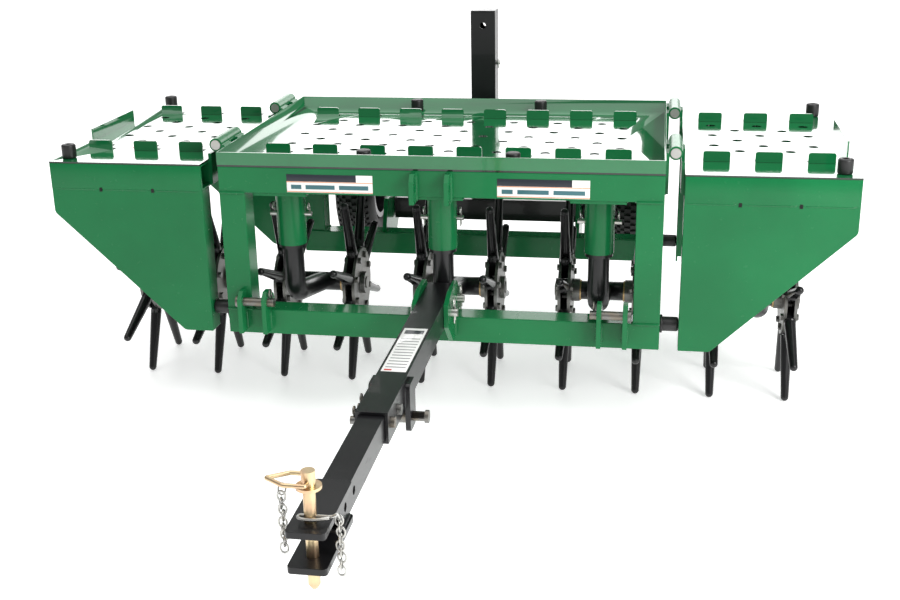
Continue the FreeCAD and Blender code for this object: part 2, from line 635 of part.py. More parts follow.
def stand_bracket():
    straps = []
    for side_name, side in SIDES:
        x = ends(side, "draw_tube / 2", "draw_tube / 2 + stand_strap")
        outline = [("-stand_back - stand_strap_width / 2", "-draw_drop - 8"),
                   ("-stand_back - stand_strap_width / 2", "-stand_drop - 20"),
                   ("-stand_back + stand_strap_width / 2", "-stand_drop - 20"),
                   ("-stand_back + stand_strap_width / 2", "-draw_drop - 8")]
        strap = plate("stand_strap_" + side_name, "YZ", outline, x[0], "stand_strap", (0, 1, 2, 3), "8")
        drill = bar("stand_hole_" + side_name, "stand_pin_radius + ear_pin_play", "X",
                    ("%s - 1" % x[0], "%s + 1" % x[1]), ("-stand_back", "-stand_drop"))
        straps.append(cut("stand_strap_drilled_" + side_name, strap, [drill]))
    node("stand_bracket", straps)
    half = "draw_tube / 2 + stand_strap"
    pin = cross_pin("stand_pin_body", "stand_pin_radius", ("-(%s) - 12" % half, "%s + 26" % half),
                    ("-stand_back", "-stand_drop"), ["-(%s) - 6" % half],
                    ("%s + 20" % half, "%s + 26" % half))
    collar = pipe("stand_collar", "stand_pin_radius + 4", "stand_pin_radius + ear_pin_play", "X",
                  ("-4", "draw_tube / 2 - 1"), ("-stand_back", "-stand_drop"))
    return [pin, collar, clip_at("stand_clip", "-(%s) - 6" % half, "-stand_back", "-stand_drop", 17)]


def hitch_clevis():
    corner = "6"
    outline = [("-clevis_half", "-clevis_front"), ("clevis_half", "-clevis_front"),
               ("clevis_half", "-clevis_rear"), ("-clevis_half", "-clevis_rear")]
    plates = []
    for name, z in (("upper", "inner_top"), ("lower", "inner_low - clevis_plate")):
        flat = plate("clevis_" + name, "XY", outline, z, "clevis_plate", (0, 1, 2, 3), corner)
        drill = bar("clevis_hole_" + name, "hitch_pin_radius + hitch_pin_play", "Z",
                    (z + " - 1", z + " + clevis_plate + 1"), ("0", "-hitch_back"))
        plates.append(cut("clevis_drilled_" + name, flat, [drill]))
    node("hitch_clevis", plates)


def hitch_pin():
    axis = ("0", "-hitch_back")
    tip = "inner_low - clevis_plate - hitch_pin_tip"
    shank = bar("hitch_shank", "hitch_pin_radius", "Z", (tip + " + 6", "flange_at"), axis)
    point = doc.addObject("Part::Cone", "hitch_point")
    bind(point, Radius1="hitch_pin_radius * 0.55", Radius2="hitch_pin_radius", Height="6")
    at(point, *axis, tip)
    flange = bar("hitch_flange", "hitch_flange_radius", "Z", ("flange_at", "flange_at + 4"), axis)
    head = bar("hitch_head", "hitch_head_radius", "Z", ("flange_at", "flange_at + 4 + hitch_head_height"),
               axis)
    body = fuse("hitch_pin_solid", [shank, point, flange, head])
    handle_hole = bar("hitch_handle_hole", "handle_wire + handle_play", "Y",
                      ("-hitch_back - hitch_flange_radius", "-hitch_back + hitch_flange_radius"),
                      ("0", "flange_at + 4 + handle_wire + 3"))
    clip_hole = bar("hitch_clip_hole", "clip_wire * 1.4 + rest_gap", "X",
                    ("-hitch_flange_radius", "hitch_flange_radius"),
                    ("-hitch_back", "inner_top + clevis_plate + 2 * clip_wire + 4"))
    node("hitch_pin", [cut("hitch_pin_drilled", body, [handle_hole, clip_hole])])


def handle():
    """The closed wire handle: its pivot run lies in the head's cross hole."""
    half = number("handle_half")
    arm = number("handle_arm")
    reach = number("handle_reach")
    points = [Vector(0, -half, 0), Vector(-arm, -half, 0), Vector(-reach, 0, 0), Vector(-arm, half, 0),
              Vector(0, half, 0), Vector(0, -half, 0)]
    wire = doc.addObject("Part::Feature", "handle_wire_loop")
    wire.Shape = bent_wire(points, number("handle_wire"))
    at(wire, "0", "-hitch_back", "flange_at + 4 + handle_wire + 3")
    node("hitch_handle", [wire])


def chain():
    """Two short chains of round links: one from the flange, one from the clip."""
    links = []
    pitch = 2 * number("link_ring") - 2 * number("link_wire") - 0.6
    back = -number("hitch_back")
    runs = {"left": (Vector(-34.5, back - 4, 0), 9), "right": (Vector(36, back + 4, 0), 9)}
    for side_name, (top, count) in runs.items():
        for i in range(count):
            ring = doc.addObject("Part::Torus", "link_%s_%d" % (side_name, i))
            bind(ring, Radius1="link_ring", Radius2="link_wire")
            turn = Rotation(Vector(0, 1, 0), 90) if i % 2 else Rotation(Vector(1, 0, 0), 90)
            ring.Placement = Placement(Vector(), turn)
            start = "flange_at - 12" if side_name == "left" else "inner_top + clevis_plate + 2"
            at(ring, str(top.x), str(top.y), "%s - %g" % (start, i * pitch))
            links.append(ring)
    bends = [Vector(-13, 0, 0), Vector(24, 0, 0), Vector(32, 0, 3), Vector(34, 4, 2)]
    clip = bent_wire(bends, number("clip_wire") * 1.4)
    feature = doc.addObject("Part::Feature", "pin_clip_wire")
    feature.Shape = clip
    at(feature, "0", "-hitch_back", "inner_top + clevis_plate + 2 * clip_wire + 4")
    node("pin_chain", [feature] + links)


# ---------------------------------------------------------------- wings and their hinges
def hinge_knuckle(name, side, leaf_x, y0, third_low, third_high):
    """One knuckle with the finger that joins it to its leaf."""
    y = ("%s + %s" % (y0, third_low), "%s + %s" % (y0, third_high))
    barrel = bar(name + "_barrel", "hinge_radius", "Y", y, ("%d * hinge_at" % side, "hinge_height"))
    finger = block(name + "_finger", leaf_x, y, ("-leaf_top - 1", "hinge_height"))
    return [barrel, finger]


def hinge_leaf(name, side, leaf_x, y0, knuckles):
    pieces = [block(name + "_leaf", leaf_x, (y0, y0 + " + hinge_length"), ("-leaf_bottom", "-leaf_top"))]
    for i, (low, high) in enumerate(knuckles):
        pieces += hinge_knuckle("%s_%d" % (name, i), side, leaf_x, y0, low, high)
    bore = bar(name + "_bore", "hinge_pin_radius + hinge_play", "Y",
               (y0 + " - 1", y0 + " + hinge_length + 1"),
               ("%d * hinge_at" % side, "hinge_height"))
    return cut(name, fuse(name + "_joined", pieces), [bore])


HINGES = (("front", "hinge_inset"), ("rear", "frame_depth - hinge_inset - hinge_length"))


def centre_hinges():
    leaves = []
    pins = []
    outer = [("0", "hinge_length / 3 - rest_gap"), ("2 * hinge_length / 3 + rest_gap", "hinge_length")]
    for side_name, side in SIDES:
        for row, y0 in HINGES:
            name = "hinge_centre_%s_%s" % (side_name, row)
            leaves.append(hinge_leaf(name, side, ends(side, "half_width", "half_width + leaf"), y0, outer))
            axis = ("%d * hinge_at" % side, "hinge_height")
            pins.append(bar("hinge_pin_%s_%s" % (side_name, row), "hinge_pin_radius", "Y",
                            (y0 + " - 2", y0 + " + hinge_length + 8"), axis))
    node("hinge_leaves", leaves)
    node("hinge_pins", pins)


def wing(side_name, side):
    mid = "(%d * (wing_in + wing_out) / 2)" % side
    whole = ends(side, "wing_in", "wing_out")
    z = ("rail_under", "rail_top")
    tubes = []
    for row, y in (("front", ("skirt", "skirt + tube")),
                   ("rear", ("frame_depth - skirt - tube", "frame_depth - skirt"))):
        tubes.append(square_tube("wing_rail_%s_%s" % (side_name, row), "X", whole, y, z, "tube_wall"))
    for edge, x in (("inner", ends(side, "wing_in", "wing_in + tube")),
                    ("outer", ends(side, "wing_out - tube", "wing_out"))):
        tubes.append(square_tube("wing_side_%s_%s" % (side_name, edge), "Y", x,
                                 ("skirt + tube", "frame_depth - skirt - tube"), z, "tube_wall"))
    outline = [("%d * wing_in" % side, "rail_top"), ("%d * wing_out" % side, "rail_top"),
               ("%d * wing_out" % side, "rail_top - skirt_edge"),
               ("%d * (wing_in + skirt_foot)" % side, "-frame_drop"), ("%d * wing_in" % side, "-frame_drop")]
    inner_x = ends(side, "wing_in", "wing_in + skirt")
    for row, y, flange in (("front", "0", ("skirt", "skirt + skirt_flange")),
                           ("rear", "frame_depth - skirt",
                            ("frame_depth - skirt - skirt_flange", "frame_depth - skirt"))):
        tubes.append(plate("skirt_%s_%s" % (side_name, row), "XZ", outline, y, "skirt", (2, 3),
                           "skirt_corner"))
        tubes.append(block("skirt_flange_%s_%s" % (side_name, row), inner_x, flange,
                           ("-frame_drop", "rail_under")))
    node(side_name + "_wing_frame", tubes)

    base = block("wing_deck_plate_" + side_name, whole, ("0", "frame_depth"), ("-lip - sheet", "-lip"))
    in_line = ["%s + %d * tab_pitch" % (mid, i) for i in (-1, 0, 1)]
    between = ["%s + %g * tab_pitch" % (mid, i) for i in (-0.5, 0.5)]
    sheet_piece = deck("wing_deck_" + side_name, base, in_line, [between, in_line])
    lip = block("wing_lip_" + side_name, ends(side, "wing_out - sheet", "wing_out"),
                ("deck_middle - lip_length / 2", "deck_middle + lip_length / 2"), ("-lip - sheet / 2", "0"))
    node(side_name + "_wing_deck", [fuse("wing_deck_lipped_" + side_name, [sheet_piece, lip])])

    leaves = []
    for row, y0 in HINGES:
        leaves.append(hinge_leaf("hinge_wing_%s_%s" % (side_name, row), side,
                                 ends(side, "wing_in - leaf", "wing_in"),
                                 y0, [("hinge_length / 3", "2 * hinge_length / 3")]))
    node(side_name + "_wing_hinge_leaves", leaves)

    middle = "%d * head_pitch" % (2 * side)
    node(side_name + "_wing_socket", socket("wing_socket_" + side_name, middle))
    node(side_name + "_wing_socket_pin", socket_pin("wing_pin_" + side_name, middle))
    pads = []
    for row, y in (("front", "bumper_inset"), ("rear", "frame_depth - bumper_inset")):
        pads.append(bar("wing_bumper_%s_%s" % (side_name, row), "bumper_radius", "Z",
                        ("-lip", "-lip + bumper_height"),
                        ("%d * (wing_out - bumper_edge)" % side, y)))
    node(side_name + "_wing_bumpers", pads)


# ---------------------------------------------------------------- caster heads
ELBOW_TURN = Rotation(Vector(0, -1, 0), Vector(0, 0, -1), Vector(1, 0, 0), "XYZ")


def bent_arm(name, radius, middle, top, short):
    """Stem, elbow and sloping arm as round bars of one radius, the arm ending short of the axle."""
    stem = bar(name + "_stem", radius, "Z", ("elbow_level", top), (middle, "socket_back"))
    elbow = doc.addObject("Part::Torus", name + "_elbow")
    elbow.Placement = Placement(Vector(), ELBOW_TURN)
    bind(elbow, Radius1="elbow_radius", Radius2=radius, Angle3="90 - arm_slope")
    at(elbow, middle, "socket_back + elbow_radius", "elbow_level")
    arm = doc.addObject("Part::Cylinder", name + "_arm")
    arm.Placement = Placement(Vector(), Rotation(Vector(-1, 0, 0), 100))
    bind(arm, Radius=radius, Height="arm_length - " + short, Placement__Rotation__Angle="90 + arm_slope")
    at(arm, middle, "socket_back + elbow_radius * (1 - sin(arm_slope))",
       "elbow_level - elbow_radius * cos(arm_slope)")
    return [stem, elbow, arm]


def caster_arm(number_, middle):
    name = "arm_%d" % number_
    solid = bent_arm(name + "_outside", "stem_radius", middle, "socket_top - 2", "sleeve_radius / 2")
    solid.append(bar(name + "_collar", "collar_radius", "Z",
                     ("socket_end - rest_gap - collar_height", "socket_end - rest_gap"),
                     (middle, "socket_back")))
    solid.append(bar(name + "_sleeve", "sleeve_radius", "X",
                     (middle + " - sleeve_half", middle + " + sleeve_half"), ("axle_back", "-axle_drop")))
    hollow = bent_arm(name + "_inside", "stem_radius - stem_wall", middle, "socket_top + 1",
                      "sleeve_radius")
    hollow.append(bar(name + "_bore", "axle_radius + axle_play + bush_wall", "X",
                      (middle + " - sleeve_half - 1", middle + " + sleeve_half + 1"),
                      ("axle_back", "-axle_drop")))
    half_slot = "(socket_pin_radius + stem_radius * sin(swivel + 2) + rest_gap)"
    hollow.append(block(name + "_slot", (middle + " - stem_radius - 1", middle + " + stem_radius + 1"),
                        ("socket_back - " + half_slot, "socket_back + " + half_slot),
                        ("pin_level - socket_pin_radius - 1", "pin_level + socket_pin_radius + 1")))
    node("caster_arm_%d" % number_, [cut(name, fuse(name + "_solid", solid), hollow)])


def axle_bushes(number_, middle):
    bushes = []
    for side_name, side in SIDES:
        name = "bush_%d_%s" % (number_, side_name)
        near = "%s %s " % (middle, "+-"[side < 0])
        x_in = near + "(sleeve_half - 26)"
        x_face = near + "sleeve_half"
        x_out = near + "(sleeve_half + bush_flange)"
        low, high = (x_out, x_in) if side < 0 else (x_in, x_out)
        flange = (x_out, x_face) if side < 0 else (x_face, x_out)
        across = ("axle_back", "-axle_drop")
        tube_ = bar(name + "_tube", "axle_radius + axle_play + bush_wall", "X", (low, high), across)
        rim = bar(name + "_flange", "sleeve_radius + 2", "X", flange, across)
        bore = bar(name + "_bore", "axle_radius + axle_play", "X", (low + " - 1", high + " + 1"), across)
        bushes.append(cut(name, fuse(name + "_solid", [tube_, rim]), [bore]))
    node("axle_bushes_%d" % number_, bushes)


def ring_of(name, source, radius_turns, shifts, base):
    """Copies of one piece, turned about the axle and shifted along it, in one feature."""
    copies = []
    for shift in shifts:
        for turn in radius_turns:
            shape = source.Shape.copy()
            spin = Placement(Vector(shift, 0, 0), Rotation(Vector(1, 0, 0), turn))
            shape.Placement = spin.multiply(shape.Placement)
            copies.append(shape)
    feature = doc.addObject("Part::Feature", name)
    feature.Shape = Part.makeCompound(copies)
    return at(feature, *base)


def spoon():
    """One tine spoon that points straight down from the axle: tang, tapered blade, scoop, round tip."""
    tang = block("spoon_tang", ("-disc_gap / 2", "disc_gap / 2"), ("-spoon_radius", "spoon_radius"),
                 ("-spoon_root - 8", "-bolt_circle + bolt_head + 12"))
    blade = doc.addObject("Part::Cone", "spoon_blade")
    blade.Placement = Placement(Vector(), Rotation(Vector(1, 0, 0), 180))
    bind(blade, Radius1="spoon_radius", Radius2="tip_radius",
         Height="tine_radius - tip_radius - spoon_root - 8")
    at(blade, 0, 0, "-spoon_root - 8")
    tip = doc.addObject("Part::Sphere", "spoon_tip")
    bind(tip, Radius="tip_radius")
    at(tip, 0, 0, "-tine_radius + tip_radius")
    scoop = bar("spoon_scoop", "scoop_radius", "Z", ("-tine_radius + tip_radius + 2", "-spoon_root - 22"),
                ("0", "scoop_offset"))
    hole_ = bar("spoon_hole", "bolt_radius + ear_pin_play", "X", ("-disc_gap", "disc_gap"),
                ("0", "-bolt_circle"))
    return cut("spoon", fuse("spoon_solid", [tang, blade, tip]), [scoop, hole_])


def bolt():
    """One tine bolt with its head and nut, at the lowest place of the bolt circle."""
    half = "disc_gap / 2 + disc_thick"
    shank = bar("bolt_shank", "bolt_radius", "X", ("-(%s) - bolt_head_height" % half, half),
                ("0", "-bolt_circle"))
    pieces = [shank]
    for i, x in enumerate(("-(%s) - bolt_head_height" % half, half)):
        prism = doc.addObject("Part::Prism", "bolt_hex_%d" % i)
        prism.Polygon = 6
        prism.Placement = Placement(Vector(), TURN["X"])
        bind(prism, Circumradius="bolt_head", Height="bolt_head_height")
        pieces.append(at(prism, x, "0", "-bolt_circle"))
    return fuse("bolt", pieces)


def tine_plate():
    disc = bar("disc_solid", "disc_radius", "X", ("0", "disc_thick"), ("0", "0"))
    bore = bar("disc_bore", "hub_radius", "X", ("-1", "disc_thick + 1"), ("0", "0"))
    holes = []
    for i in range(int(number("spoon_count"))):
        angle = "(360 * %d / spoon_count + 180 / spoon_count)" % i
        holes.append(bar("disc_hole_%d" % i, "bolt_radius", "X", ("-1", "disc_thick + 1"),
                         ("bolt_circle * sin(%s)" % angle, "-bolt_circle * cos(%s)" % angle)))
    return cut("disc", disc, [bore] + holes)


def caster_heads():
    masters = {"spoon": spoon(), "bolt": bolt(), "disc": tine_plate()}
    doc.recompute()
    count = int(number("spoon_count"))
    turns = [360 * i / count + 180 / count for i in range(count)]
    half = number("wheel_half")
    gap = number("disc_gap") / 2
    thick = number("disc_thick")
    disc_shifts = [s * half + d for s in (-1, 1) for d in (gap, -gap - thick)]
    for i in range(1, 6):
        middle = "%d * head_pitch" % (i - 3)
        caster_arm(i, middle)
        axle_bushes(i, middle)
        base = (middle, "axle_back", "-axle_drop")
        across = ("axle_back", "-axle_drop")
        shaft = bar("shaft_%d" % i, "axle_radius", "X",
                    (middle + " - wheel_half - 24", middle + " + wheel_half + 24"), across)
        hubs = []
        for side_name, side in SIDES:
            near = "sleeve_half + bush_flange + rest_gap"
            x = ends(side, near, "wheel_half + 22")
            hubs.append(pipe("hub_%d_%s" % (i, side_name), "hub_radius", "axle_radius", "X",
                             ("%s + %s" % (middle, x[0]), "%s + %s" % (middle, x[1])), across))
        discs = ring_of("discs_%d" % i, masters["disc"], [0], disc_shifts, base)
        bolts = ring_of("bolts_%d" % i, masters["bolt"], turns, (-half, half), base)
        node("tine_axle_%d" % i, [shaft] + hubs + [discs, bolts])
        node("tine_spoons_%d" % i, [ring_of("spoons_%d" % i, masters["spoon"], turns, (-half, half), base)])


# ---------------------------------------------------------------- transport lift
def lift():
    axis = ("lift_back", "-lift_drop")
    half = "lift_tube / 2"
    square = square_tube("rockshaft", "X", ("-lift_half", "lift_half"),
                         ("lift_back - " + half, "lift_back + " + half),
                         ("-lift_drop - " + half, "-lift_drop + " + half), "stub_wall")
    pieces = [square]
    brackets = []
    inner_face = "(lift_half + bracket_gap)"
    arm_in = "(lift_half + 2 * bracket_gap + bracket)"
    arm_out = "(%s + lift_arm_plate)" % arm_in
    wheel_axis = ("lift_back + lift_arm", "-lift_drop")
    for side_name, side in SIDES:
        x = ends(side, "lift_half - 40", arm_out)
        stub = bar("stub_" + side_name, "stub_radius", "X", x, axis)
        plug = block("stub_plug_" + side_name, ends(side, "lift_half - 16", "lift_half"),
                     ("lift_back - %s + stub_wall" % half, "lift_back + %s - stub_wall" % half),
                     ("-lift_drop - %s + stub_wall" % half, "-lift_drop + %s - stub_wall" % half))
        pieces.append(fuse("stub_plugged_" + side_name, [stub, plug]))
        x = ends(side, arm_in, arm_out)
        outline = [("lift_back - 26", "-lift_drop - 26"), ("lift_back + lift_arm + 20", "-lift_drop - 20"),
                   ("lift_back + lift_arm + 20", "-lift_drop + 20"), ("lift_back - 26", "-lift_drop + 26")]
        arm = plate("wheel_arm_" + side_name, "YZ", outline, x[0], "lift_arm_plate", (0, 1, 2, 3), "16")
        drills = [bar("wheel_arm_bore_" + side_name, "stub_radius", "X", (x[0] + " - 1", x[1] + " + 1"),
                      axis),
                  bar("wheel_arm_axle_bore_" + side_name, "stub_axle_radius", "X",
                      (x[0] + " - 1", x[1] + " + 1"),
                      wheel_axis)]
        pieces.append(cut("wheel_arm_drilled_" + side_name, arm, drills))
        hub_in = "(wheel_out - wheel_hub_half)"
        hub_out = "(wheel_out + wheel_hub_half)"
        axle = bar("wheel_axle_" + side_name, "stub_axle_radius", "X", ends(side, arm_in, hub_out + " + 8"),
                   wheel_axis)
        spacer = bar("wheel_spacer_" + side_name, "stub_axle_radius + 4", "X",
                     ends(side, arm_out, hub_in + " - rest_gap"), wheel_axis)
        washer = bar("wheel_washer_" + side_name, "stub_axle_radius + 6", "X",
                     ends(side, hub_out + " + rest_gap", hub_out + " + 4"), wheel_axis)
        pieces.append(fuse("wheel_axle_shouldered_" + side_name, [axle, spacer, washer]))

        x = ends(side, inner_face, inner_face + " + bracket")
        outline = [("frame_depth", "-frame_drop + 8"), ("frame_depth", "low_top"),
                   ("frame_depth - tube + 6", "low_top"), ("frame_depth - 12", "-lift_drop + 38"),
                   ("lift_back + 36", "-lift_drop + 38"), ("lift_back + 36", "-lift_drop - 36"),
                   ("lift_back - 8", "-frame_drop + 8")]
        bracket_plate = plate("pivot_plate_" + side_name, "YZ", outline, x[0], "bracket", (4, 5), "24")
        bore = bar("pivot_bore_" + side_name, "stub_radius + stub_play", "X",
                   (x[0] + " - 1", x[1] + " + 1"), axis)
        brackets.append(cut("pivot_bracket_" + side_name, bracket_plate, [bore]))
    node("lift_shaft", pieces)
    node("lift_pivot_brackets", brackets)

    half = "lever_width / 2"
    lever = square_tube("lever_tube", "Z", ("-" + half, half), ("lift_back - " + half, "lift_back + " + half),
                        ("-lift_drop + lift_tube / 2", "lever_top"), "lever_wall")
    drill = bar("lever_hole_bore", "lever_hole", "Y",
                ("lift_back - " + half + " - 1", "lift_back + " + half + " + 1"),
                ("0", "lever_top - lever_hole_below"))
    cap = block("lever_cap", ("-" + half, half), ("lift_back - " + half, "lift_back + " + half),
                ("lever_top", "lever_top + 4"))
    node("lift_lever", [cut("lever_drilled", lever, [drill]), cap])


def revolved(name, outline, x, y, z):
    """A ring turned about X: outline points are (along the axle, radius)."""
    body = doc.addObject("PartDesign::Body", name)
    origin = next(f for f in body.Origin.OriginFeatures if f.Role == "XY_Plane")
    sketch = body.newObject("Sketcher::SketchObject", name + "_sketch")
    sketch.AttachmentSupport = [(origin, "")]
    sketch.MapMode = "FlatFace"
    count = len(outline)
    for i in range(count):
        sketch.addGeometry(Part.LineSegment(Vector(10 * i, 10 + i * i, 0),
                                            Vector(10 * i + 10, 11 + i * i, 0)), False)
    for i in range(count):
        sketch.addConstraint(Constraint("Coincident", i, 2, (i + 1) % count, 1))
    for i, (along, radius) in enumerate(outline):
        for kind, text in (("DistanceX", along), ("DistanceY", radius)):
            place = sketch.addConstraint(Constraint(kind, -1, 1, i, 1, 1.0))
            sketch.setExpression("Constraints[%d]" % place, spell(text))
    turned = body.newObject("PartDesign::Revolution", name + "_turned")
    turned.Profile = sketch
    turned.ReferenceAxis = (sketch, ["H_Axis"])
    turned.Angle = 360
    return at(body, x, y, z)


def transport_wheels():
    bead = "tyre_half * 0.72"
    height = "(tyre_radius - rim_radius)"
    for side_name, side in SIDES:
        across = ("lift_back + lift_arm", "-lift_drop")
        middle = "%d * wheel_out" % side
        outside = [(bead, "rim_radius"), (bead, "rim_radius + rim_flange + rest_gap"),
                   ("tyre_half * 0.94", "rim_radius + rim_flange + 0.2 * " + height),
                   ("tyre_half", "rim_radius + 0.52 * " + height),
                   ("tyre_half * 0.9", "rim_radius + 0.82 * " + height),
                   ("tyre_half * 0.62", "tyre_radius - 4"), ("tyre_half * 0.3", "tyre_radius")]
        inside = [("tyre_half * 0.3", "tyre_radius - tyre_wall"),
                  ("tyre_half * 0.55", "tyre_radius - tyre_wall - 4"),
                  ("tyre_half - tyre_wall * 1.5", "rim_radius + 0.72 * " + height),
                  ("tyre_half - tyre_wall", "rim_radius + 0.52 * " + height),
                  ("%s - tyre_wall" % bead, "rim_radius + rim_flange"),
                  ("%s - tyre_wall" % bead, "rim_radius")]
        outline = [("-(%s)" % along, radius) for along, radius in outside] + outside[::-1]
        outline += inside[::-1] + [("-(%s)" % along, radius) for along, radius in inside]
        tyre = revolved("tyre_" + side_name, outline, middle, *across)
        node(side_name + "_tyre", [tyre])
        name = "rim_" + side_name
        barrel = pipe(name + "_barrel", "rim_radius", "rim_radius - rim_wall", "X",
                      (middle + " - rim_half", middle + " + rim_half"), across)
        flanges = []
        for edge, low, high in (("near", " - rim_half", " - %s" % bead),
                                ("far", " + %s" % bead, " + rim_half")):
            flanges.append(pipe("%s_flange_%s" % (name, edge), "rim_radius + rim_flange",
                                "rim_radius - rim_wall / 2", "X",
                                (middle + low, middle + high), across))
        disc = pipe(name + "_disc", "rim_radius - rim_wall / 2", "wheel_hub_radius - 2", "X",
                    (middle + " - 4", middle + " + 1"), across)
        hub = pipe(name + "_hub", "wheel_hub_radius", "stub_axle_radius + wheel_play", "X",
                   (middle + " - wheel_hub_half", middle + " + wheel_hub_half"), across)
        node(side_name + "_rim", [fuse(name, [barrel, disc, hub] + flanges)])


# ---------------------------------------------------------------- build, check and write
def check(thing):
    """Stop when an object failed or a sub-part has no valid solids."""
    if "Invalid" in thing.State or "Error" in thing.State:
        raise RuntimeError("%s failed: %s" % (thing.Name, thing.State))


centre_frame()
centre_tray()
centre_sockets()
bumpers()
top_link_ears()
lower_link_ears()
drawbar_ears()
node("draw_tube_pins", draw_tubes() + stand_bracket())
hitch_clevis()
hitch_pin()
handle()
chain()
centre_hinges()
for side_name_, side_ in SIDES:
    wing(side_name_, side_)
caster_heads()
lift()
transport_wheels()
doc.recompute()

for thing in doc.Objects:
    check(thing)
for group in NODES:
    shape = group.Shape
    if shape.isNull() or not shape.isValid() or not shape.Solids:
        raise RuntimeError("%s has no valid solids" % group.Label)

os.makedirs("parts", exist_ok=True)
for old in os.listdir("parts"):
    os.remove(os.path.join("parts", old))
for group in NODES:
    group.Shape.exportStep(os.path.join("parts", group.Label + ".step"))
    box = group.Shape.BoundBox
    print("%-24s %3d solids  x %8.1f %8.1f  y %8.1f %8.1f  z %7.1f %7.1f  %9.1f cm3" % (
        group.Label, len(group.Shape.Solids), box.XMin, box.XMax, box.YMin, box.YMax, box.ZMin, box.ZMax,
        sum(s.Volume for s in group.Shape.Solids) / 1000))
print("%d nodes written" % len(NODES))
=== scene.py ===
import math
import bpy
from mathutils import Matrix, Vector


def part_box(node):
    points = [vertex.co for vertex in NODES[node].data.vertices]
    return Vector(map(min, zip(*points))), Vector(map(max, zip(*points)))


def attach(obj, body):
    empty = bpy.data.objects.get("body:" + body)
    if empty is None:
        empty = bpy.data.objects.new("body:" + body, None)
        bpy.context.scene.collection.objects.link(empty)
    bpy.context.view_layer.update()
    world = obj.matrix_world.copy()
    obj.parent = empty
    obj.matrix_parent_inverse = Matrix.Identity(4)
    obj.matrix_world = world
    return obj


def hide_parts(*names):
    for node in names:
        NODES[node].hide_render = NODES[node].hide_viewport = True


bl_info = {
    "name": "Core Aerator",
    "version": (1, 0, 0),
    "blender": (4, 5, 0),
    "location": "3D View > Sidebar > Aerator",
    "description": "Finishes a towed core aerator: powder coat, welds, labels, tyres, hitch and studio",
    "category": "Add Mesh",
}

import bmesh
import bpy
from bpy.props import FloatProperty, FloatVectorProperty, IntProperty, PointerProperty
from mathutils import Matrix, Vector

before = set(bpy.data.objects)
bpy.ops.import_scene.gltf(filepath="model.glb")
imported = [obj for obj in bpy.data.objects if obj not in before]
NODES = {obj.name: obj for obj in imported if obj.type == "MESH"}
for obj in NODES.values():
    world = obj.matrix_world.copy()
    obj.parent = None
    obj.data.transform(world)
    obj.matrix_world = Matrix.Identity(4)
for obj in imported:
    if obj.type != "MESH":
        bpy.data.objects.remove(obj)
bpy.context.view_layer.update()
HEADS = range(1, 6)
SIDES = (("left", -1), ("right", 1))

FRAME_LOW, FRAME_HIGH = (Vector(corner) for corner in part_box("centre_frame"))
TRAY_LOW, TRAY_HIGH = (Vector(corner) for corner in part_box("centre_tray"))
DATUM = Vector((0.0, FRAME_LOW.y, TRAY_HIGH.z))

# Places and sizes of the machine in millimetres, from the middle of the tray's front top edge.
HALF = 425.0
DEPTH = 614.0
TUBE = 50.8
FRAME_DROP = 367.0
RAIL_UNDER = 78.8
HEAD_PITCH = 304.8
SOCKET_BACK = 72.0
LIFT_BACK, LIFT_LEVEL = 690.0, -280.0
WHEEL_BACK, WHEEL_OUT = 895.0, 350.0
HITCH_BACK = -912.0
FLANGE = -262 - 25.4 + 20 + 9.5 + 46


def spot(x, y, z):
    """A place given in millimetres from the middle of the tray's front top edge."""
    return Vector((x, y, z)) / 1000 + DATUM


# ---------------------------------------------------------------- sizes and colours
def colour(name, text, value):
    return FloatVectorProperty(name=name, description=text, subtype="COLOR", size=3, min=0, max=1, default=value)


def length(name, text, value):
    return FloatProperty(name=name, description=text, subtype="DISTANCE", unit="LENGTH", default=value, precision=4)


class AeratorPaint(bpy.types.PropertyGroup):
    """Colours and textures of the finishes."""

    green: colour("Green", "Powder coat of the frame, wings and tray", (0.007, 0.152, 0.047))
    black: colour("Black", "Paint of the draw tube, casters and spoons", (0.008, 0.008, 0.009))
    zinc: colour("Zinc", "Plating of pins, plates and bolts", (0.56, 0.56, 0.54))
    yellow_zinc: colour("Yellow zinc", "Plating of the hitch pin and its handle", (0.74, 0.60, 0.36))
    bronze: colour("Bronze", "Axle bushes", (0.47, 0.33, 0.17))
    rubber: colour("Rubber", "Bumpers", (0.012, 0.012, 0.012))
    peel: length("Orange peel", "Size of the ripples in the paint", 0.0016)


class AeratorShape(bpy.types.PropertyGroup):
    """Sizes of the added detail."""

    edge: length("Edge", "Rounding of plate and tube edges", 0.0012)
    tube_edge: length("Tube edge", "Rounding of the square tubes", 0.0018)
    weld: length("Weld", "Radius of a weld bead", 0.0032)
    weld_step: length("Weld step", "Spacing of the ripples in a weld", 0.0045)
    tread_depth: length("Tread depth", "Depth of the tyre's grooves", 0.004)
    tread_count: IntProperty(name="Tread blocks", description="Steps around the tyre", default=56, min=24, max=96)


class AeratorStage(bpy.types.PropertyGroup):
    """Camera and studio light."""

    lens: FloatProperty(name="Lens", description="Focal length in millimetres", default=49.66, min=20, max=200)
    sky: FloatProperty(name="Sky", description="Strength of the even studio light", default=0.30, min=0, max=5)
    key: FloatProperty(name="Key", description="Power of the main light", unit="POWER", default=66)
    card: FloatProperty(name="Card", description="Power of the light behind the machine", unit="POWER", default=600)


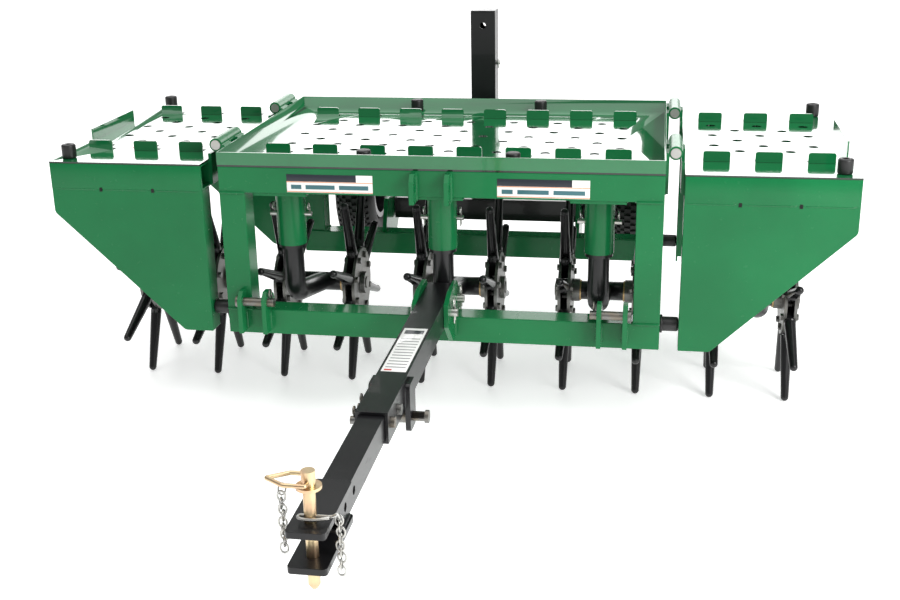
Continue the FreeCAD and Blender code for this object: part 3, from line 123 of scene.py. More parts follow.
# ---------------------------------------------------------------- shader maths
class Value:
    """A node socket that takes part in sums."""

    def __init__(self, tree, socket):
        self.tree = tree
        self.socket = socket

    def sum_with(self, operation, other, swap=False):
        pair = (other, self) if swap else (self, other)
        return self.tree.add("ShaderNodeMath", {"operation": operation}, pair)

    def __add__(self, other):
        return self.sum_with("ADD", other)

    def __radd__(self, other):
        return self.sum_with("ADD", other, True)

    def __sub__(self, other):
        return self.sum_with("SUBTRACT", other)

    def __rsub__(self, other):
        return self.sum_with("SUBTRACT", other, True)

    def __mul__(self, other):
        return self.sum_with("MULTIPLY", other)

    def __rmul__(self, other):
        return self.sum_with("MULTIPLY", other, True)

    def __truediv__(self, other):
        return self.sum_with("DIVIDE", other)

    def __gt__(self, other):
        return self.sum_with("GREATER_THAN", other)

    def __lt__(self, other):
        return self.sum_with("LESS_THAN", other)

    def between(self, low, high):
        """1 where the value lies between two limits."""
        return (self > low) * (self < high)

    def ramp(self, low, high):
        """0 at the low limit and 1 at the high one, smooth between."""
        return self.tree.add("ShaderNodeMapRange", {"interpolation_type": "SMOOTHSTEP"}, (self, low, high, 0.0, 1.0))


class Finish:
    """A material under construction."""

    def __init__(self, name):
        self.material = bpy.data.materials.new(name)
        self.material.use_nodes = True
        self.nodes = self.material.node_tree.nodes
        self.links = self.material.node_tree.links
        self.shader = self.nodes["Principled BSDF"]
        self.place = self.add("ShaderNodeTexCoord", {}, (), "Object")

    def add(self, kind, settings, inputs, output=0):
        """Add a node: its settings first, then the values or links of its sockets."""
        node = self.nodes.new(kind)
        for name, value in settings.items():
            setattr(node, name, value)
        pairs = inputs.items() if isinstance(inputs, dict) else enumerate(inputs)
        for key, value in pairs:
            self.feed(node.inputs[key], value)
        return Value(self, node.outputs[output])

    def feed(self, socket, value):
        if isinstance(value, Value):
            self.links.new(value.socket, socket)
        else:
            socket.default_value = value

    def stretched(self, x, y, z):
        return self.add("ShaderNodeMapping", {}, {"Vector": self.place, "Scale": (x, y, z)})

    def noise(self, scale, detail=2.0, place=None, rough=0.5):
        return self.add("ShaderNodeTexNoise", {}, {"Vector": place or self.place, "Scale": scale, "Detail": detail,
                                                   "Roughness": rough})

    def mix(self, factor, first, second):
        return self.add("ShaderNodeMix", {"data_type": "RGBA"}, {0: factor, 6: first, 7: second}, 2)

    def axis(self, index):
        return self.add("ShaderNodeSeparateXYZ", {}, (self.place,), index)

    def bump(self, height, strength, distance):
        return self.add("ShaderNodeBump", {}, {"Height": height, "Strength": strength, "Distance": distance})

    def done(self, **sockets):
        for name, value in sockets.items():
            self.feed(self.shader.inputs[name.replace("_", " ")], value)
        return self.material


def tone(value, factor=1.0):
    return (*(min(1.0, channel * factor) for channel in value), 1.0)


def powder_coat(name, base, rough, coat, peel, gloss=0.25, painted_hole_shade=False):
    """Sprayed and baked paint: faint colour drift, orange peel, and fine rub marks in the gloss; on request, painted
    shade in the walls of a sheet's holes and along its cut edges.
    """
    finish = Finish(name)
    drift = finish.noise(5.0, 3.0)
    colour_ = finish.mix(drift.ramp(0.3, 0.7), tone(base, 0.90), tone(base, 1.10))
    rubs = finish.noise(90.0, 4.0, finish.stretched(1.0, 0.25, 1.0), 0.65)
    dulled = rubs.ramp(0.60, 0.74)
    colour_ = finish.mix(dulled * 0.02, colour_, tone([0.5 * c + 0.10 for c in base]))
    if painted_hole_shade:
        # Painted shade: faces standing upright within the deck sheet's thickness (the hole walls and cut edges) are
        # made near black.
        wall = Value(finish, finish.place.socket.node.outputs["Normal"])
        upright = finish.add("ShaderNodeSeparateXYZ", {}, (wall,), 2).between(-0.5, 0.5)
        inside = finish.axis(2).between(DATUM.z - 0.0286, DATUM.z - 0.0246)
        colour_ = finish.mix(upright * inside * 0.94, colour_, (0.002, 0.004, 0.003, 1.0))
    ripple = finish.noise(1.0 / peel, 1.0)
    speck = finish.noise(0.35 / peel, 2.0)
    normal = finish.bump(ripple * 0.75 + speck * 0.25, 0.07, 0.0004)
    return finish.done(Base_Color=colour_, Roughness=rough + dulled * 0.10 + drift * 0.04, Normal=normal,
                       Coat_Weight=coat, Coat_Roughness=0.03, Specular_IOR_Level=gloss)


def plating(name, base, rough, hue):
    """Zinc plate: crystal mottling, drawn streaks, a slight change of hue."""
    finish = Finish(name)
    mottle = finish.add("ShaderNodeTexVoronoi", {"feature": "SMOOTH_F1"}, {"Vector": finish.place, "Scale": 260.0})
    cloud = finish.noise(40.0, 4.0)
    colour_ = finish.mix(cloud.ramp(0.35, 0.65), tone(base), tone([c * h for c, h in zip(base, hue)]))
    colour_ = finish.mix(mottle.ramp(0.0, 0.9) * 0.25, colour_, tone(base, 0.72))
    streak = finish.noise(220.0, 2.0, finish.stretched(0.12, 1.0, 1.0))
    normal = finish.bump(streak, 0.15, 0.0003)
    return finish.done(Base_Color=colour_, Metallic=1.0, Roughness=rough + cloud * 0.15 + streak * 0.05,
                       Normal=normal)


def moulded(name, base, rough, grain, depth):
    """Moulded rubber: matt skin with a fine grain and lighter bloom in places."""
    finish = Finish(name)
    bloom = finish.noise(18.0, 4.0)
    colour_ = finish.mix(bloom.ramp(0.45, 0.75) * 0.5, tone(base), tone([c + 0.02 for c in base]))
    skin = finish.noise(grain, 3.0)
    return finish.done(Base_Color=colour_, Roughness=rough + bloom * 0.12, Normal=finish.bump(skin, 0.3, depth))


def printed_label(name, centre, across, up, half_width, half_height, bands):
    """A printed label: a white ground with bands, each (low, high, colour) over its height, and grey lines."""
    finish = Finish(name)
    shift = finish.add("ShaderNodeVectorMath", {"operation": "SUBTRACT"}, (finish.place, tuple(centre)))
    along = finish.add("ShaderNodeVectorMath", {"operation": "DOT_PRODUCT"}, (shift, tuple(across)), 1) / half_width
    level = finish.add("ShaderNodeVectorMath", {"operation": "DOT_PRODUCT"}, (shift, tuple(up)), 1) / half_height
    colour_ = finish.mix(finish.noise(30.0) * 0.06, (0.86, 0.86, 0.84, 1.0), (0.70, 0.70, 0.68, 1.0))
    for left, right, low, high, shade in bands:
        inside = along.between(left, right) * level.between(low, high)
        colour_ = finish.mix(inside, colour_, (*shade, 1.0))
    grain = finish.noise(900.0)
    return finish.done(Base_Color=colour_, Roughness=0.32 + grain * 0.05, Coat_Weight=0.35,
                       Normal=finish.bump(grain, 0.05, 0.0002))


FINISH = {}


def finishes():
    """Make the shared finishes once."""
    if FINISH:
        return FINISH
    paint = bpy.context.scene.aerator_paint
    FINISH["green_paint"] = powder_coat("green_powder_coat", paint.green, 0.20, 0.09, paint.peel, 0.20)
    # The deck coat paints near-black shade into its hole walls and cut edges.
    FINISH["deck_paint"] = powder_coat("green_deck_coat", paint.green, 0.10, 0.7, paint.peel * 3, 0.5, True)
    FINISH["black_paint"] = powder_coat("black_satin_paint", paint.black, 0.28, 0.15, paint.peel, 0.35)
    FINISH["zinc"] = plating("zinc_plate", paint.zinc, 0.26, (1.0, 0.98, 0.94))
    FINISH["dull_steel"] = plating("oiled_steel", [c * 0.40 for c in paint.zinc], 0.34, (1.0, 0.86, 0.70))
    FINISH["plate_steel"] = plating("dark_plate_steel", [c * 0.30 for c in paint.zinc], 0.30, (1.0, 0.97, 0.92))
    FINISH["yellow_zinc"] = plating("yellow_zinc_plate", paint.yellow_zinc, 0.24, (1.0, 0.82, 0.86))
    FINISH["bronze"] = plating("bush_bronze", paint.bronze, 0.34, (0.92, 0.88, 0.80))
    FINISH["rubber"] = moulded("bumper_rubber", paint.rubber, 0.34, 700.0, 0.0004)
    FINISH["tyre"] = moulded("tyre_rubber", paint.rubber, 0.62, 420.0, 0.0008)
    # Painted shade: a near-black matt finish for the blocks set at the skirt notches.
    FINISH["shade"] = moulded("notch_shade", (0.004, 0.006, 0.005), 0.8, 300.0, 0.0002)
    FINISH["weld"] = powder_coat("painted_weld", [c * 0.9 for c in paint.green], 0.24, 0.15, paint.peel)
    return FINISH


# ---------------------------------------------------------------- meshes
def new_piece(name, shape, body, finish, replaced=(), angle=35.0):
    """Turn a bmesh into an object that rides on a body."""
    mesh = bpy.data.meshes.new(name)
    shape.to_mesh(mesh)
    shape.free()
    for face in mesh.polygons:
        face.use_smooth = True
    mesh.set_sharp_from_angle(angle=math.radians(angle))
    piece = bpy.data.objects.new(name, mesh)
    bpy.context.scene.collection.objects.link(piece)
    mesh.materials.append(finishes()[finish] if isinstance(finish, str) else finish)
    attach(piece, body)
    if replaced:
        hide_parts(*replaced)
    return piece


# Its solids share whole round faces, so their triangles stay as they are.
PRESSED_TOGETHER = ("lift_shaft",)


def part_solids(shape):
    """Split touching solids from each other, so that each is closed by itself."""
    waiting = dict.fromkeys(shape.faces)
    groups = []
    while waiting:
        group = [next(iter(waiting))]
        del waiting[group[0]]
        for face in group:
            for edge in face.edges:
                if len(edge.link_faces) != 2:
                    continue
                for other in edge.link_faces:
                    if other in waiting:
                        del waiting[other]
                        group.append(other)
        groups.append(group)
    for group in groups[1:]:
        bmesh.ops.split(shape, geom=group)


def merged_copy(node):
    """The solid of a CAD node with its triangles joined and its flat faces made whole."""
    shape = bmesh.new()
    shape.from_mesh(NODES[node].data)
    if node in PRESSED_TOGETHER:
        return shape
    bmesh.ops.remove_doubles(shape, verts=shape.verts, dist=0.00001)
    part_solids(shape)
    bmesh.ops.dissolve_limit(shape, angle_limit=math.radians(0.6), verts=shape.verts, edges=shape.edges,
                             delimit={"NORMAL"})
    return shape


def softened(node, body, finish, edge):
    """A CAD node with its hard edges broken."""
    piece = new_piece(node + "_finished", merged_copy(node), body, finish, (node,))
    if edge:
        rounding = piece.modifiers.new("Edges", "BEVEL")
        rounding.width = edge
        rounding.segments = 2
        rounding.limit_method = "ANGLE"
        rounding.angle_limit = math.radians(48)
        rounding.harden_normals = True
    return piece


def round_bar(shape, start, end, radius, segments=32, edge=0.0):
    """A round bar between two places, with its end edges rounded."""
    line = end - start
    turn = Vector((0, 0, 1)).rotation_difference(line).to_matrix().to_4x4()
    made = bmesh.ops.create_cone(shape, cap_ends=True, segments=segments, radius1=radius, radius2=radius,
                                 depth=line.length, matrix=Matrix.Translation((start + end) / 2) @ turn)
    if edge:
        verts = set(made["verts"])
        rims = [e for e in shape.edges if e.verts[0] in verts and e.verts[1] in verts
                and len(e.link_faces) == 2 and e.calc_face_angle(0) > 1.2]
        bmesh.ops.bevel(shape, geom=rims, offset=edge, offset_type="OFFSET", segments=4, profile=0.5,
                        affect="EDGES", material=-1, clamp_overlap=True)


def hexagon(shape, start, end, radius):
    round_bar(shape, start, end, radius, 6, 0.0006)


def slab(shape, low, high, edge, segments=2):
    """A plate or block with rounded edges."""
    size = high - low
    made = bmesh.ops.create_cube(shape, size=1.0, matrix=Matrix.Translation((low + high) / 2)
                                 @ Matrix.Diagonal((size.x, size.y, size.z, 1.0)))
    verts = set(made["verts"])
    rims = [e for e in shape.edges if e.verts[0] in verts]
    bmesh.ops.bevel(shape, geom=rims, offset=edge, offset_type="OFFSET", segments=segments, profile=0.5,
                    affect="EDGES", material=-1, clamp_overlap=True)


def bead(shape, start, end):
    """A rippled weld bead between two places."""
    sizes = bpy.context.scene.aerator_shape
    line = end - start
    steps = max(2, round(line.length / sizes.weld_step))
    turn = Vector((0, 0, 1)).rotation_difference(line).to_matrix().to_4x4()
    ring = bmesh.ops.create_circle(shape, cap_ends=False, segments=8, radius=sizes.weld * 0.55,
                                   matrix=Matrix.Translation(start) @ turn)["verts"]
    first = list(ring)
    middle = start.copy()
    edges = list({e for v in ring for e in v.link_edges})
    width = 0.55
    for step in range(steps):
        made = bmesh.ops.extrude_edge_only(shape, edges=edges)["geom"]
        ring = [g for g in made if isinstance(g, bmesh.types.BMVert)]
        edges = [g for g in made if isinstance(g, bmesh.types.BMEdge) and all(v in ring for v in g.verts)]
        bmesh.ops.translate(shape, verts=ring, vec=line / steps)
        middle = middle + line / steps
        wanted = 0.55 if step == steps - 1 else (1.06 if step % 2 else 0.86)
        bmesh.ops.scale(shape, verts=ring, vec=Vector((1, 1, 1)) * (wanted / width),
                        space=Matrix.Translation(-middle))
        width = wanted
    bmesh.ops.contextual_create(shape, geom=edges)
    bmesh.ops.contextual_create(shape, geom=list({e for v in first for e in v.link_edges
                                                  if all(w in first for w in e.verts)}))


def bead_loop(shape, places):
    for start, end in zip(places, places[1:] + places[:1]):
        bead(shape, start, end)


def ring_places(middle, radius, normal, count=16):
    """Places round a circle, for a weld around a tube."""
    turn = Vector((0, 0, 1)).rotation_difference(Vector(normal)).to_matrix()
    return [middle + turn @ Vector((math.cos(math.tau * i / count), math.sin(math.tau * i / count), 0)) * radius
            for i in range(count)]


def wire_mesh(name, places, radius, closed=False):
    """Round wire that follows places in smooth bends, as a mesh."""
    curve = bpy.data.curves.new(name, "CURVE")
    curve.dimensions = "3D"
    curve.bevel_depth = radius
    curve.bevel_resolution = 4
    curve.use_fill_caps = True
    spline = curve.splines.new("NURBS")
    spline.points.add(len(places) - 1)
    for point, place in zip(spline.points, places):
        point.co = (*place, 1.0)
    spline.use_cyclic_u = closed
    spline.order_u = 3
    spline.use_endpoint_u = not closed
    spline.resolution_u = 6
    holder = bpy.data.objects.new(name, curve)
    mesh = bpy.data.meshes.new_from_object(holder)
    bpy.data.objects.remove(holder)
    bpy.data.curves.remove(curve)
    return mesh


def add_wire(shape, places, radius, closed=False):
    mesh = wire_mesh("wire", places, radius, closed)
    shape.from_mesh(mesh)
    bpy.data.meshes.remove(mesh)


def tight(places, share=0.12):
    """Add a point each side of every corner, so that a smooth line keeps its straight runs."""
    out = []
    count = len(places)
    for i, place in enumerate(places):
        before, after = places[i - 1], places[(i + 1) % count]
        out += [place.lerp(before, share), place, place.lerp(after, share)]
    return out


class AeratorOperator(bpy.types.Operator):
    """Shared settings of the building steps."""

    bl_options = {"REGISTER", "UNDO"}


# ---------------------------------------------------------------- building steps
ROOT_NODES = [
    ("centre_frame", "green_paint", "green_paint", "tube_edge"),
    ("centre_tray", "deck_paint", "green_paint", ""),
    ("caster_sockets", "green_paint", "green_paint", ""),
    ("top_link_ears", "green_paint", "green_paint", "edge"),
    ("lower_link_ears", "green_paint", "green_paint", "edge"),
    ("drawbar_ears", "green_paint", "green_paint", "edge"),
    ("hinge_leaves", "green_paint", "green_paint", ""),
    ("lift_pivot_brackets", "green_paint", "green_paint", "edge"),
    ("draw_tube_outer", "black_paint", "black_paint", "tube_edge"),
    ("draw_tube_inner", "black_paint", "black_paint", "edge"),
    ("stand_bracket", "black_paint", "black_paint", "edge"),
    ("hitch_clevis", "black_paint", "black_paint", "edge"),
    ("socket_pins", "zinc", "zinc", ""),
    ("lower_link_pins", "dull_steel", "zinc", ""),
    ("drawbar_pins", "zinc", "zinc", ""),
    ("draw_tube_pins", "dull_steel", "zinc", ""),
    ("hinge_pins", "zinc", "zinc", ""),
]


class AERATOR_OT_frame(AeratorOperator):
    """Finish the centre frame, the tray and what is bolted or pinned to them"""

    bl_idname = "aerator.frame"
    bl_label = "Frame and Tray"

    def execute(self, context):
        sizes = context.scene.aerator_shape
        widths = {"tube_edge": sizes.tube_edge, "edge": sizes.edge, "": 0.0}
        for node, finish, slot_name, edge in ROOT_NODES:
            softened(node, "frame", finish, widths[edge])
        return {"FINISHED"}


class AERATOR_OT_wings(AeratorOperator):
    """Finish the two folding wings"""

    bl_idname = "aerator.wings"
    bl_label = "Wings"

    def execute(self, context):
        sizes = context.scene.aerator_shape
        for side_name, _ in SIDES:
            body = side_name + "_wing"
            softened(body + "_frame", body, "green_paint", sizes.edge)
            softened(body + "_deck", body, "deck_paint", 0.0)
            softened(body + "_hinge_leaves", body, "green_paint", 0.0)
            softened(body + "_socket", body, "green_paint", 0.0)
            softened(body + "_socket_pin", body, "zinc", 0.0)
        return {"FINISHED"}


class AERATOR_OT_heads(AeratorOperator):
    """Finish the five caster heads: arms, bushes, tine plates, hubs and spoons"""

    bl_idname = "aerator.heads"
    bl_label = "Caster Heads"

    def execute(self, context):
        for i in HEADS:
            softened("caster_arm_%d" % i, "caster_%d" % i, "black_paint", 0.0)
            softened("axle_bushes_%d" % i, "caster_%d" % i, "bronze", 0.0)
            softened("tine_axle_%d" % i, "tine_wheels_%d" % i, "plate_steel", 0.0)
            softened("tine_spoons_%d" % i, "tine_wheels_%d" % i, "black_paint", 0.0)
        return {"FINISHED"}


class AERATOR_OT_welds(AeratorOperator):
    """Lay weld beads along the joints of the frame, sockets, ears and wings"""

    bl_idname = "aerator.welds"
    bl_label = "Welds"

    def frame_welds(self):
        shape = bmesh.new()
        half, tube, under = HALF, TUBE, RAIL_UNDER
        low_top = -FRAME_DROP + tube
        for side in (-1, 1):
            inner = side * (half - tube)
            for front, back in ((0, tube), (DEPTH - tube, DEPTH)):
                for level in (-under, low_top):
                    bead(shape, spot(inner, front, level), spot(inner, back, level))
                    bead(shape, spot(inner, front, level), spot(side * half, front, level))
                    bead(shape, spot(inner, back, level), spot(side * half, back, level))
            for y in (tube, DEPTH - tube):
                bead(shape, spot(inner, y, -under), spot(inner, y, -28))
        for i in (-1, 0, 1):
            middle = i * HEAD_PITCH
            bead_loop(shape, ring_places(spot(middle, SOCKET_BACK, -84.8), 0.0295, (0, 0, 1)))
            for x in (middle - 52, middle + 52):
                bead(shape, spot(x, 4, -79.6), spot(x, tube, -79.6))
        for x in (-40, 26):
            for face in (-4.5, 4.5):
                bead(shape, spot(x + face, -0.5, -86), spot(x + face, -0.5, -31))
        for x in (-366 - 24.5, -366 + 24.5, 336 - 24.5, 336 + 24.5):
            for face in (-4.5, 4.5):
                bead(shape, spot(x + face, -0.5, -356), spot(x + face, -0.5, -318))
        for side in (-1, 1):
            bead(shape, spot(side * 34.9, -0.5, -353), spot(side * 34.9, -0.5, -318))
            for y0 in (50, 444):
                bead(shape, spot(side * 425.5, y0 + 4, -75.5), spot(side * 425.5, y0 + 116, -75.5))
            for x in (225, 235):
                bead(shape, spot(side * x, 614.5, -357), spot(side * x, 614.5, -318))
        new_piece("frame_welds", shape, "frame", "weld")

    def wing_welds(self, side_name, side):
        shape = bmesh.new()
        for y0 in (50, 444):
            bead(shape, spot(side * 459.5, y0 + 4, -75.5), spot(side * 459.5, y0 + 116, -75.5))
        bead_loop(shape, ring_places(spot(side * 2 * HEAD_PITCH, SOCKET_BACK, -84.8), 0.0295, (0, 0, 1)))
        for y in (4.5, 609.5):
            bead(shape, spot(side * 512, y, -79.3), spot(side * 560, y, -79.3))
            bead(shape, spot(side * 660, y, -79.3), spot(side * 715, y, -79.3))
        for y in (54.8, 559.2):
            bead(shape, spot(side * 510.8, y, -77), spot(side * 510.8, y, -30))
            bead(shape, spot(side * 719.2, y, -77), spot(side * 719.2, y, -30))
        new_piece(side_name + "_wing_welds", shape, side_name + "_wing", "weld")

    def draw_welds(self):
        shape = bmesh.new()
        for z in (-267.4, -307.4):
            bead(shape, spot(-20, -850, z), spot(20, -850, z))
            for side in (-1, 1):
                bead(shape, spot(side * 20.3, -848, z), spot(side * 20.3, -802, z))
        for side in (-1, 1):
            for y in (-450, -406):
                bead(shape, spot(side * 25.8, y, -309), spot(side * 25.8, y, -274))
        new_piece("draw_tube_welds", shape, "frame", "black_paint")

    def execute(self, context):
        self.frame_welds()
        for side_name, side in SIDES:
            self.wing_welds(side_name, side)
        self.draw_welds()
        return {"FINISHED"}


class AERATOR_OT_labels(AeratorOperator):
    """Stick the plain labels on the front rail, the draw tube and the left wing"""

    bl_idname = "aerator.labels"
    bl_label = "Labels"

    def label(self, name, body, low, high, across, up, bands):
        shape = bmesh.new()
        slab(shape, low, high, 0.0001)
        middle = (low + high) / 2
        size = high - low
        half_width = abs(size.dot(Vector(across))) / 2
        half_height = abs(size.dot(Vector(up))) / 2
        finish = printed_label(name + "_print", middle, across, up, half_width, half_height, bands)
        new_piece(name, shape, body, finish)

    def execute(self, context):
        navy, orange, grey, red = (0.015, 0.02, 0.03), (0.75, 0.22, 0.05), (0.25, 0.25, 0.26), (0.55, 0.03, 0.02)
        teal = (0.02, 0.12, 0.14)
        for name, left, right in (("left", -288, -120), ("right", 117, 289)):
            bands = [(-1.1, 0.62, 0.22, 1.1, navy), (-1.1, 1.1, 0.12, 0.20, orange),
                     (-1.1, 1.1, -0.96, -0.88, orange),
                     (-0.90, -0.66, -0.64, -0.16, teal), (-0.56, 0.12, -0.64, -0.16, teal),
                     (0.22, 0.90, -0.64, -0.16, teal)]
            self.label(name + "_rail_label", "frame", spot(left, -0.4, -75), spot(right, 0.0, -40), (1, 0, 0),
                       (0, 0, 1), bands)
        lines = [(-0.8, 0.8, 0.86 - 0.13 * i, 0.90 - 0.13 * i, grey) for i in range(3, 14)]
        lines += [(-0.8, 0.8, 0.72, 0.90, navy), (-0.8, -0.2, -0.96, -0.90, red)]
        self.label("draw_tube_label", "frame", spot(-21, -415, -262), spot(21, -215, -261.6), (1, 0, 0),
                   (0, 1, 0), lines)
        self.label("left_wing_label", "left_wing", spot(-655, 132, -25), spot(-600, 150, -24.7), (1, 0, 0), (0, 1, 0),
                   [(-1.1, -0.3, -1.1, 1.1, red), (-0.2, 0.9, -0.1, 0.1, grey), (-0.2, 0.9, 0.4, 0.6, grey)])
        return {"FINISHED"}


class AERATOR_OT_bumpers(AeratorOperator):
    """Make the rubber bumpers of the wings, the tray and the frame's sides"""

    bl_idname = "aerator.bumpers"
    bl_label = "Bumpers"

    def execute(self, context):
        for side_name, side in SIDES:
            shape = bmesh.new()
            for y in (34, 580):
                round_bar(shape, spot(side * 742, y, -25), spot(side * 742, y, 3), 0.014, 48, 0.0035)
                round_bar(shape, spot(side * 742, y, 2.2), spot(side * 742, y, 3.0), 0.006, 32, 0.0003)
            new_piece(side_name + "_wing_bumper_pads", shape, side_name + "_wing", "rubber",
                      (side_name + "_wing_bumpers",))
        shape = bmesh.new()
        for side in (-1, 1):
            for y in (34, 580):
                round_bar(shape, spot(side * 143, y, -25), spot(side * 143, y, 2.7), 0.014, 48, 0.0035)
        new_piece("tray_bumper_pads", shape, "frame", "rubber", ("tray_bumpers",))
        shape = bmesh.new()
        for side in (-1, 1):
            for y in (TUBE / 2, DEPTH - TUBE / 2):
                start, end = spot(side * 425, y, -322), spot(side * 459.7, y, -322)
                round_bar(shape, start, end, 0.014, 48, 0.004)
                round_bar(shape, start, start.lerp(end, 0.14), 0.0175, 48, 0.0015)
        new_piece("side_bumper_pads", shape, "frame", "rubber", ("side_bumpers",))
        return {"FINISHED"}


class AERATOR_OT_hitch(AeratorOperator):
    """Make the hitch pin, its handle, its clip and its chains"""

    bl_idname = "aerator.hitch"
    bl_label = "Hitch"

    def chain_link(self, shape, middle, turned):
        """An oval link: a wire ring, spun and then drawn out."""
        section = Matrix.Translation((0.0052, 0, 0)) @ Matrix.Rotation(math.pi / 2, 4, "X")
        made = bmesh.ops.create_circle(shape, cap_ends=False, segments=10, radius=0.0013, matrix=section)
        geom = made["verts"] + list({e for v in made["verts"] for e in v.link_edges})
        before = set(shape.verts)
        bmesh.ops.spin(shape, geom=geom, cent=(0, 0, 0), axis=(0, 0, 1), angle=math.tau, steps=24, use_merge=True,
                       use_duplicate=False)
        verts = list(made["verts"]) + [v for v in shape.verts if v not in before]
        verts = [v for v in verts if v.is_valid]
        bmesh.ops.scale(shape, verts=verts, vec=(1.0, 1.35, 1.0))
        stand = Matrix.Rotation(math.pi / 2, 3, "X")
        if turned:
            stand = Matrix.Rotation(math.pi / 2, 3, "Z") @ stand
        bmesh.ops.rotate(shape, verts=verts, cent=(0, 0, 0), matrix=stand)
        bmesh.ops.translate(shape, verts=verts, vec=middle)

    def execute(self, context):
        softened("hitch_pin", "hitch_pin", "yellow_zinc", 0.0006)
        flange = FLANGE
        level = flange + 10
        shape = bmesh.new()
        corners = [spot(0, -929, level), spot(-28, -929, level), spot(-54, -912, level), spot(-28, -895, level),
                   spot(0, -895, level)]
        add_wire(shape, tight(corners), 0.003, True)
        new_piece("hitch_handle_loop", shape, "hitch_handle", "yellow_zinc", ("hitch_handle",))
        shape = bmesh.new()
        for x, y, top, count in ((-34.5, -916, flange - 12, 9), (36, -908, flange - 44, 9)):
            for i in range(count):
                wobble = 1.2 * math.sin(i * 1.7 + x)
                self.chain_link(shape, spot(x + wobble * 0.5, y + wobble, top - i * 9.0), i % 2)
        clip_level = -257.9 + 7.2
        add_wire(shape, [spot(-13, -912, clip_level), spot(10, -912, clip_level), spot(24, -912, clip_level),
                         spot(30, -912, clip_level + 1), spot(34, -910, clip_level + 4),
                         spot(36, -908, clip_level - 2), spot(34, -907, clip_level - 5)], 0.00224)
        add_wire(shape, [spot(-13, -912, clip_level), spot(-16, -915, clip_level), spot(-12, -922, clip_level),
                         spot(0, -922.5, clip_level), spot(14, -921, clip_level), spot(24, -915, clip_level)],
                 0.00224)
        add_wire(shape, [spot(-34.5 + 5 * math.cos(a), -912 + 3.0 * math.sin(a), flange - 4 + 7 * math.sin(a))
                         for a in (math.tau * i / 10 for i in range(10))], 0.0011, True)
        new_piece("hitch_chains_and_clip", shape, "hitch_pin", "zinc", ("pin_chain",))
        return {"FINISHED"}


class AERATOR_OT_lift(AeratorOperator):
    """Finish the rockshaft, its lever and the lever's small pin"""

    bl_idname = "aerator.lift"
    bl_label = "Lift"

    def execute(self, context):
        sizes = context.scene.aerator_shape
        softened("lift_shaft", "lift", "black_paint", 0.0)
        softened("lift_lever", "lift", "black_paint", sizes.tube_edge)
        shape = bmesh.new()
        round_bar(shape, spot(28, 682, 73), spot(37, 682, 73), 0.005, 24, 0.001)
        add_wire(shape, [spot(33, 682, 80), spot(33, 676, 84), spot(33, 675, 74), spot(33, 681, 60),
                         spot(33, 684, 62), spot(33, 682, 80)], 0.0014)
        new_piece("lever_pin_and_clip", shape, "lift", "zinc")
        shape = bmesh.new()
        bead_loop(shape, [spot(-28.5, 661.5, -254), spot(28.5, 661.5, -254), spot(28.5, 718.5, -254),
                          spot(-28.5, 718.5, -254)])
        for side in (-1, 1):
            bead_loop(shape, ring_places(spot(side * 250.5, LIFT_BACK, LIFT_LEVEL), 0.0195, (1, 0, 0)))
            bead_loop(shape, ring_places(spot(side * 250.5, WHEEL_BACK, LIFT_LEVEL), 0.0140, (1, 0, 0)))
        new_piece("lift_welds", shape, "lift", "black_paint")
        return {"FINISHED"}


class AERATOR_OT_wheels(AeratorOperator):
    """Make the two transport tyres with their treads, and finish the rims"""

    bl_idname = "aerator.wheels"
    bl_label = "Transport Wheels"

    def tyre(self, side_name, side):
        sizes = bpy.context.scene.aerator_shape
        middle = spot(side * WHEEL_OUT, WHEEL_BACK, LIFT_LEVEL)
        outline = [(36, 78), (36, 87), (43, 96), (48.5, 107), (50, 120), (48.5, 133), (45, 143.5), (40, 150.5),
                   (33, 155), (24, 157.6), (15, 159.2), (7, 160)]
        outline = [(-x, r) for x, r in outline] + [(0, 160)] + outline[::-1]
        outline += [(26, 78), (26, 87), (38, 110), (38, 130), (28, 146), (0, 150), (-28, 146), (-38, 130), (-38, 110),
                    (-26, 87), (-26, 78)]
        shape = bmesh.new()
        verts = [shape.verts.new((x / 1000, 0, r / 1000)) for x, r in outline]
        edges = [shape.edges.new(pair) for pair in zip(verts, verts[1:] + verts[:1])]
        steps = sizes.tread_count * 2
        bmesh.ops.spin(shape, geom=verts + edges, cent=(0, 0, 0), axis=(1, 0, 0), angle=math.tau, steps=steps,
                       use_merge=True, use_duplicate=False)
        bmesh.ops.remove_doubles(shape, verts=shape.verts, dist=0.00001)
        bmesh.ops.recalc_face_normals(shape, faces=shape.faces)
        blocks = []
        for face in shape.faces:
            centre = face.calc_center_median()
            reach = math.hypot(centre.y, centre.z)
            if reach < 0.1515:
                continue
            step = round((math.atan2(centre.y, centre.z) / math.tau) * steps - 0.5)
            lane = int(abs(centre.x) * 1000 // 12)
            if (step + lane + (centre.x > 0)) % 2 and lane < 4:
                blocks.append(face)
        bmesh.ops.inset_individual(shape, faces=blocks, thickness=0.0004, depth=-sizes.tread_depth,
                                   use_even_offset=True)
        bmesh.ops.translate(shape, verts=shape.verts, vec=middle)
        new_piece(side_name + "_tyre_tread", shape, side_name + "_transport_wheel", "tyre",
                  (side_name + "_tyre",), 28)

    def execute(self, context):
        for side_name, side in SIDES:
            body = side_name + "_transport_wheel"
            self.tyre(side_name, side)
            softened(side_name + "_rim", body, "black_paint", 0.0)
            shape = bmesh.new()
            round_bar(shape, spot(side * 351, 895, -228), spot(side * 376, 895, -222), 0.0042, 20, 0.0008)
            new_piece(side_name + "_valve", shape, body, "rubber")
            shape = bmesh.new()
            hexagon(shape, spot(side * 394, WHEEL_BACK, LIFT_LEVEL),
                    spot(side * 397.5, WHEEL_BACK, LIFT_LEVEL), 0.0145)
            new_piece(side_name + "_axle_nut", shape, "lift", "zinc")
        return {"FINISHED"}


